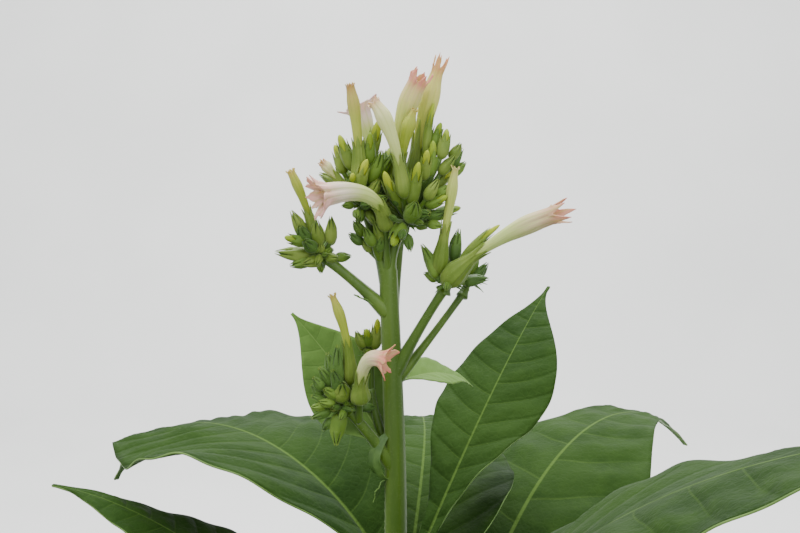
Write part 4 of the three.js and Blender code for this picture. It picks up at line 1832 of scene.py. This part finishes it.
CLUSTERS = (
    Cluster("top_left", (-12, 0, 56), ((-6.3, -0.2, 71.6), 1.5), 8, 19, 45, (
        (-20, -4, 31, 14), (-22, 2, 35, 11), (-10, 6, 32, 10), (-6, -2, 26, 17), (-5, -6, 36, 14),
        (-1, -4, 38, 12), (-10, -10, 39, 13), (-15, -9, 44, 10), (-18, -8, 46, 8), (-6, -9, 46, 10),
        (-9, -6, 30, 13), (-3, -10, 52, 9), (-9, -10, 55, 8), (-13, -7, 62, 7), (-7, -7, 63, 8),
    ), 18, 86, 0.6, fork=(-6, -1, 76), fork_tips=(
        (-15, -6, 61, 8), (-11, -8, 63, 8.5), (-8, -7, 61, 10), (-5, -7, 66, 8), (-17, -4, 66, 7),
        (-12, -3, 68, 6),
    )),
    Cluster("top_right", (4, -2, 62), ((-2.6, -0.9, 71.6), 1.5), 8, 22, 40, (
        (-4, -13, 43, 20, 5), (3, -10, 41, 15, 4.4), (8, -10, 40, 16, 5), (13, -5, 33, 13, 4.8),
        (16, 0, 27, 10), (18, -2, 29, 11), (23, -1, 34, 7), (24, 1, 36, 8), (25, 1, 41, 7),
        (15, -9, 46, 9), (19.5, 0, 44, 9), (18, -8, 52, 9), (7, -15, 53, 12, 6.2), (18, -5, 58, 8),
        (17, -6, 63, 6), (-1, -13, 69, 11, 5.6), (5, -9, 72, 7), (13.5, 1, 20, 20, 3),
        (21, -4, 38, 9), (11, -9, 36, 12), (20, -5, 48, 8), (12, -12, 58, 8),
    ), 20, 84, 0.55),
    Cluster("top_rear", (-3, 8, 58), ((-4.4, 1.6, 71.6), 1.4), 10, 22, 50, root=84),
    Cluster("upper_left", (-27, -4, 74), ((-25.2, -4, 75.3), 1.6), 6, 12, 25, (
        (-37, -9, 57, 12), (-23, -9, 59, 11, 4.2), (-43, -9, 72, 14, 5.2), (-39, -12, 66, 9),
        (-32, -14, 67, 9, 4.6), (-34, -11, 62, 10, 4.8), (-20, -9, 74, 6), (-27, -3, 81, 5),
        (-28, -10, 60, 11, 4.8), (-38, -8, 77, 9, 4.4), (-33, -11, 76, 8, 4.4),
    ), 16, opening=0.04, dark=0.2, light=0.45),
    Cluster("right", (19, -4, 84), ((17.7, -3.6, 86.2), 1.5), 4, 13, 30, (
        (37, -4, 63, 20, 3.6), (23, 1, 65, 13), (9, -3, 70, 14, 4.4), (34, 2, 84, 10),
    ), 8),
    Cluster("right_second", (27, 8.5, 86), ((25.2, 6.2, 89.6), 1.1), 3, 9, 35, (
        (34, 8, 79, 9), (30, 10, 75, 10), (25, 11, 77, 8),
    ), 6),
    Cluster("lower_left", (-19, -6, 130), ((-17.8, -5.7, 131.4), 1.7), 6, 13, 20, (
        (-21, -8, 106, 15.9, 5), (-25, -8, 109, 12), (-28, -10, 114, 11), (-23, -13, 114, 11),
        (-31, -8, 121, 6), (-31, -9, 125, 6), (-26, -14, 121, 8), (-31, -11, 133, 8),
        (-27, -8, 139, 6), (-19.4, -13.5, 119, 10, 7), (-22, -10, 144, 12.5, 6.1),
        (-30, -12, 117, 7), (-31, -11, 129, 6), (-28, -13, 126, 7),
    ), 20, opening=0.0),
    Cluster("lower_left_second", (-9.5, 6, 114), ((-9.4, 6, 128.7), 0.9), 3, 9, 60, (
        (-11, 2, 103, 9), (-7, 6, 100, 12), (-15, 4, 104, 8),
    ), 6, opening=1.0, dark=0.0, light=0.9),
    Cluster("rear", (2, 18, 62), ((2, 17.1, 66.7), 1.2), 10, 14, 35),
)


@dataclass(frozen=True)
class Down:
    """The short sticky hairs on the young parts: how many there are on each, and how long."""

    on_stem: tuple[int, float] = (6000, 0.6)
    on_stalk: tuple[int, float] = (420, 0.7)
    on_buds: tuple[int, float] = (1300, 0.35)
    on_flower: tuple[int, float] = (160, 0.3)
    thickness: float = 0.026
    sunk: float = 0.05
    lean: float = 0.28
    lowest: float = PLANT_TOP - 260.0
    seed: int = 11

    def build(self, masses: Sequence[Body], finish: Material) -> None:
        """Stand the hairs on the finished pieces.

        Args:
            masses: The bud clusters.
            finish: The hairs' material.
        """
        add = bpy.ops.mesh.primitive_cone_add
        cone = start(add, "hair", vertices=3, radius1=1, depth=1, location=(0, 0, 0.5))
        bpy.ops.object.transform_apply(location=True, rotation=True, scale=True)
        hair = Pattern.taken_from(cone)
        made = bpy.data.objects
        wanted = [(made["stem_skin"], self.on_stem)]
        wanted += [(made[f"{stalk.name}_skin"], self.on_stalk) for stalk in STALKS]
        wanted += [(mass, self.on_buds) for mass in masses]
        wanted += [(made[f"corolla_{flower.name}_petals"], self.on_flower) for flower in FLOWERS]
        stock = Stock("fine_hairs")
        dice = np.random.default_rng(self.seed)
        for piece, (count, length) in wanted:
            self.stand(stock, hair, piece.data, count, length, dice)
        ride(stock.piece([finish]), "buds")

    @staticmethod
    def inside(mesh: bpy.types.Mesh, chosen: Array, dice: np.random.Generator) -> Array:
        """Pick a chance place in each chosen face.

        Args:
            mesh: The mesh.
            chosen: The faces' numbers.
            dice: The seeded chance.

        Returns:
            The places, in millimetres.
        """
        places = read(mesh.vertices, "co", 3) / MM
        corners = read(mesh.loops, "vertex_index", kind=int)
        starts = read(mesh.polygons, "loop_start", kind=int)[chosen]
        totals = read(mesh.polygons, "loop_total", kind=int)[chosen]
        ring = [places[corners[starts + np.minimum(step, totals - 1)]] for step in range(4)]
        across, along = dice.random((2, len(chosen), 1))
        return lerp(lerp(ring[0], ring[1], across), lerp(ring[3], ring[2], across), along)

    def stand(self, stock: Stock, hair: Pattern, mesh: bpy.types.Mesh, count: int, length: float,
              dice: np.random.Generator) -> None:
        """Stand hairs on one mesh.

        Args:
            stock: The joined hairs.
            hair: The hair to copy.
            mesh: The mesh that carries them.
            count: How many there are.
            length: How long they are.
            dice: The seeded chance.
        """
        heights = read(mesh.polygons, "center", 3)[:, 2] / MM
        areas = np.where(heights > self.lowest, read(mesh.polygons, "area"), 0.0)
        chosen = dice.choice(len(areas), size=count, p=areas / areas.sum())
        normals = read(mesh.polygons, "normal", 3)[chosen]
        feet = self.inside(mesh, chosen, dice) - normals * self.sunk
        lean = unit(normals + dice.normal(size=(count, 3)) * self.lean)
        lengths = length * dice.uniform(0.5, 1.1, count)
        aside = unit(np.cross(lean, dice.normal(size=(count, 3))))
        frames = np.stack([aside * self.thickness, np.cross(lean, aside) * self.thickness,
                           lean * lengths[:, None]], axis=1)
        for foot, axes in zip(feet, frames):
            stock.add(hair, foot + hair.places @ axes)


@dataclass(frozen=True)
class Lamp:
    """A soft square lamp, in metres and watts."""

    name: str
    place: Point
    size: float
    power: float
    aim: Point = (0.0, 0.0, 1.1)

    def build(self) -> None:
        """Hang the lamp and turn it to what it faces."""
        lamp = bpy.data.lights.new(self.name, "AREA")
        lamp.shape = "SQUARE"
        lamp.size = self.size
        lamp.energy = self.power
        made = bpy.data.objects.new(self.name, lamp)
        bpy.context.scene.collection.objects.link(made)
        made.location = self.place
        x, y, z = (there - here for there, here in zip(self.aim, self.place))
        made.rotation_euler = (
            math.pi / 2 + math.atan2(z, math.hypot(x, y)),
            0.0,
            math.atan2(y, x) - math.pi / 2,
        )


@dataclass(frozen=True)
class Studio:
    """A plain pale floor and backdrop, soft light, and the camera at the photograph's angle."""

    camera_place: Point = (0.0014, -0.396, 1.350)
    tilt: float = math.degrees(math.atan(221.5 / 1111.0))
    lens: float = 50.0
    sensor: float = 36.0
    sky: tuple[float, float, float, float] = (0.93, 0.95, 1.0, 1.0)
    sky_power: float = 0.9
    lamps: tuple[Lamp, ...] = (
        Lamp("key", (-0.9, -0.7, 3.6), 2.6, 100.0),
        Lamp("fill", (1.8, -2.6, 2.2), 3.0, 58.0),
        Lamp("back", (0.6, 2.2, 2.9), 2.0, 70.0),
        Lamp("backdrop", (0.0, 1.6, 4.4), 3.0, 260.0, (0.0, 4.4, 0.6)),
    )
    half_floor: Pair = (8.0, 6.0)
    sweep_start: float = 3.4
    sweep: float = 1.5

    def build(self) -> None:
        """Set up the floor, the lights and the camera."""
        self.floor()
        for lamp in self.lamps:
            lamp.build()
        world = bpy.context.scene.world or bpy.data.worlds.new("studio")
        bpy.context.scene.world = world
        world.use_nodes = True
        sky = world.node_tree.nodes["Background"]
        sky.inputs["Color"].default_value = self.sky
        sky.inputs["Strength"].default_value = self.sky_power
        self.camera()

    def floor(self) -> None:
        """Lay a floor that sweeps up far behind the plant."""
        made = grid("studio_floor", 2, 40)

        def swept(places: Array) -> Array:
            """Curve the far part upwards.

            Args:
                places: The flat floor's corners.

            Returns:
                Where they go.
            """
            along = places[:, 1] * self.half_floor[1]
            up = np.maximum(along - self.sweep_start, 0.0)
            height = np.where(up < self.sweep, up**2 / (2 * self.sweep), up - self.sweep / 2)
            deep = np.minimum(along, self.sweep_start + up * 0.5)
            return np.stack([places[:, 0] * self.half_floor[0], deep, height], axis=-1)

        move(made, swept)
        shade_smooth(made.data)
        finish = PlainFinish("studio_paper", (226, 227, 224), (230, 231, 228), 2.0, 0.9)
        made.data.materials.append(finish.make())

    def camera(self) -> None:
        """Stand the camera level with the flower tips, looking a little down."""
        eye = bpy.data.cameras.new("camera")
        eye.lens = self.lens
        eye.sensor_width = self.sensor
        eye.clip_start = 0.01
        made = bpy.data.objects.new("camera", eye)
        bpy.context.scene.collection.objects.link(made)
        made.location = self.camera_place
        made.rotation_euler = (math.radians(90.0 - self.tilt), 0.0, 0.0)
        bpy.context.scene.camera = made


BUD_FINISHES = (
    CalyxFinish("calyx_dark", (60, 88, 34), (82, 112, 46)),
    CalyxFinish("calyx_mid", (78, 106, 34), (102, 130, 48)),
    CalyxFinish("calyx_light", (92, 115, 40), (118, 137, 58)),
    CalyxFinish("bud_petal_green", (96, 126, 34), (114, 142, 42)),
    CalyxFinish("bud_petal_mid", (116, 142, 34), (138, 160, 44)),
    CalyxFinish("bud_petal_yellow", (138, 158, 36), (164, 176, 50)),
    StemFinish(),
    CalyxFinish("calyx_tip", (100, 124, 42), (128, 148, 58)),
    CalyxFinish("calyx_deep", (60, 86, 30), (78, 106, 40)),
)
UPPER_SIDE = BladeFinish("leaf_upper", (24, 46, 12), (42, 66, 21), (72, 97, 40))
LOWER_SIDE = BladeFinish("leaf_under", (56, 84, 38), (74, 104, 52), (98, 126, 68))
SMALL_UPPER_SIDE = BladeFinish("small_leaf", (80, 112, 50), (102, 133, 66), (124, 152, 84), 9.0, 0.26, 0.2)
MARGIN = PlainFinish("leaf_margin", (84, 114, 50), (102, 132, 64), 120.0)
CURLED_UPPER_SIDE = PlainFinish("axil_green", (128, 154, 30), (156, 176, 44), 160.0)
CURLED_LOWER_SIDE = PlainFinish("curl_green", (62, 92, 38), (84, 114, 52), 160.0)
ANTHER = PlainFinish("anther", (150, 138, 96), (176, 164, 118), 900.0)
HAIR = PlainFinish("hair", (158, 176, 118), (184, 198, 146))


class TobaccoPlant:
    """The whole plant, built from the stem outwards."""

    def __init__(self) -> None:
        """Make the finishes and the shapes to copy."""
        self.stem = Stem()
        self.leaves = stem_leaves()
        self.greens = [finish.make() for finish in BUD_FINISHES]
        self.stem_green = self.greens[Tint.STALK.value]
        self.petals = {tint: finish.make(tint.value) for tint, finish in PETAL_FINISHES.items()}
        self.patterns = BudPatterns()

    def build(self) -> None:
        """Build every part of the plant in order."""
        feet = [(PLANT_TOP - leaf.below, leaf.azimuth, leaf.width * 0.1) for leaf in self.leaves]
        self.stem.build(self.stem_green, feet)
        for stalk in STALKS:
            stalk.build(self.stem, self.patterns.bar, self.stem_green)
        for count, flower in enumerate(FLOWERS):
            flower.build(self.petals, count + 1)
        masses = [
            cluster.build(self.stem, self.patterns, self.greens, 100 + count)
            for count, cluster in enumerate(CLUSTERS)
        ]
        self.stamens()
        self.blades()
        Down().build(masses, HAIR.make())

    def stamens(self) -> None:
        """Place the pollen sacs in the open flowers."""
        stock = Stock("pollen_sacs")
        sac = self.patterns.sac
        local = sac.places * np.array([0.9, 0.9, 0.5]) + np.array([0, 0, 0.5])
        for flower in FLOWERS:
            for place, way in flower.stamen_places() if flower.stamens else ():
                stock.add(sac, Line.straight(place - way * 0.8, place + way * 0.8).carry(local))
        ride(stock.piece([ANTHER.make()]), "petal")

    def blades(self) -> None:
        """Build the large and the small leaves."""
        upper, under, margin = UPPER_SIDE.make(), LOWER_SIDE.make(), MARGIN.make()
        small = [SMALL_UPPER_SIDE.make(), under, margin]
        curled = [CURLED_UPPER_SIDE.make(), CURLED_LOWER_SIDE.make(), margin]
        for count, leaf in enumerate(self.leaves):
            leaf.build(self.stem, [upper, under, margin], count)
        for count, leaf in enumerate(small_leaves()):
            leaf.build(self.stem, curled if leaf.name == "bract_curled" else small, 40 + count)


def main() -> None:
    """Build the plant and its studio."""
    logging.basicConfig(level=logging.INFO, format="%(message)s")
    TobaccoPlant().build()
    Studio().build()


if __name__ == "__main__":
    main()
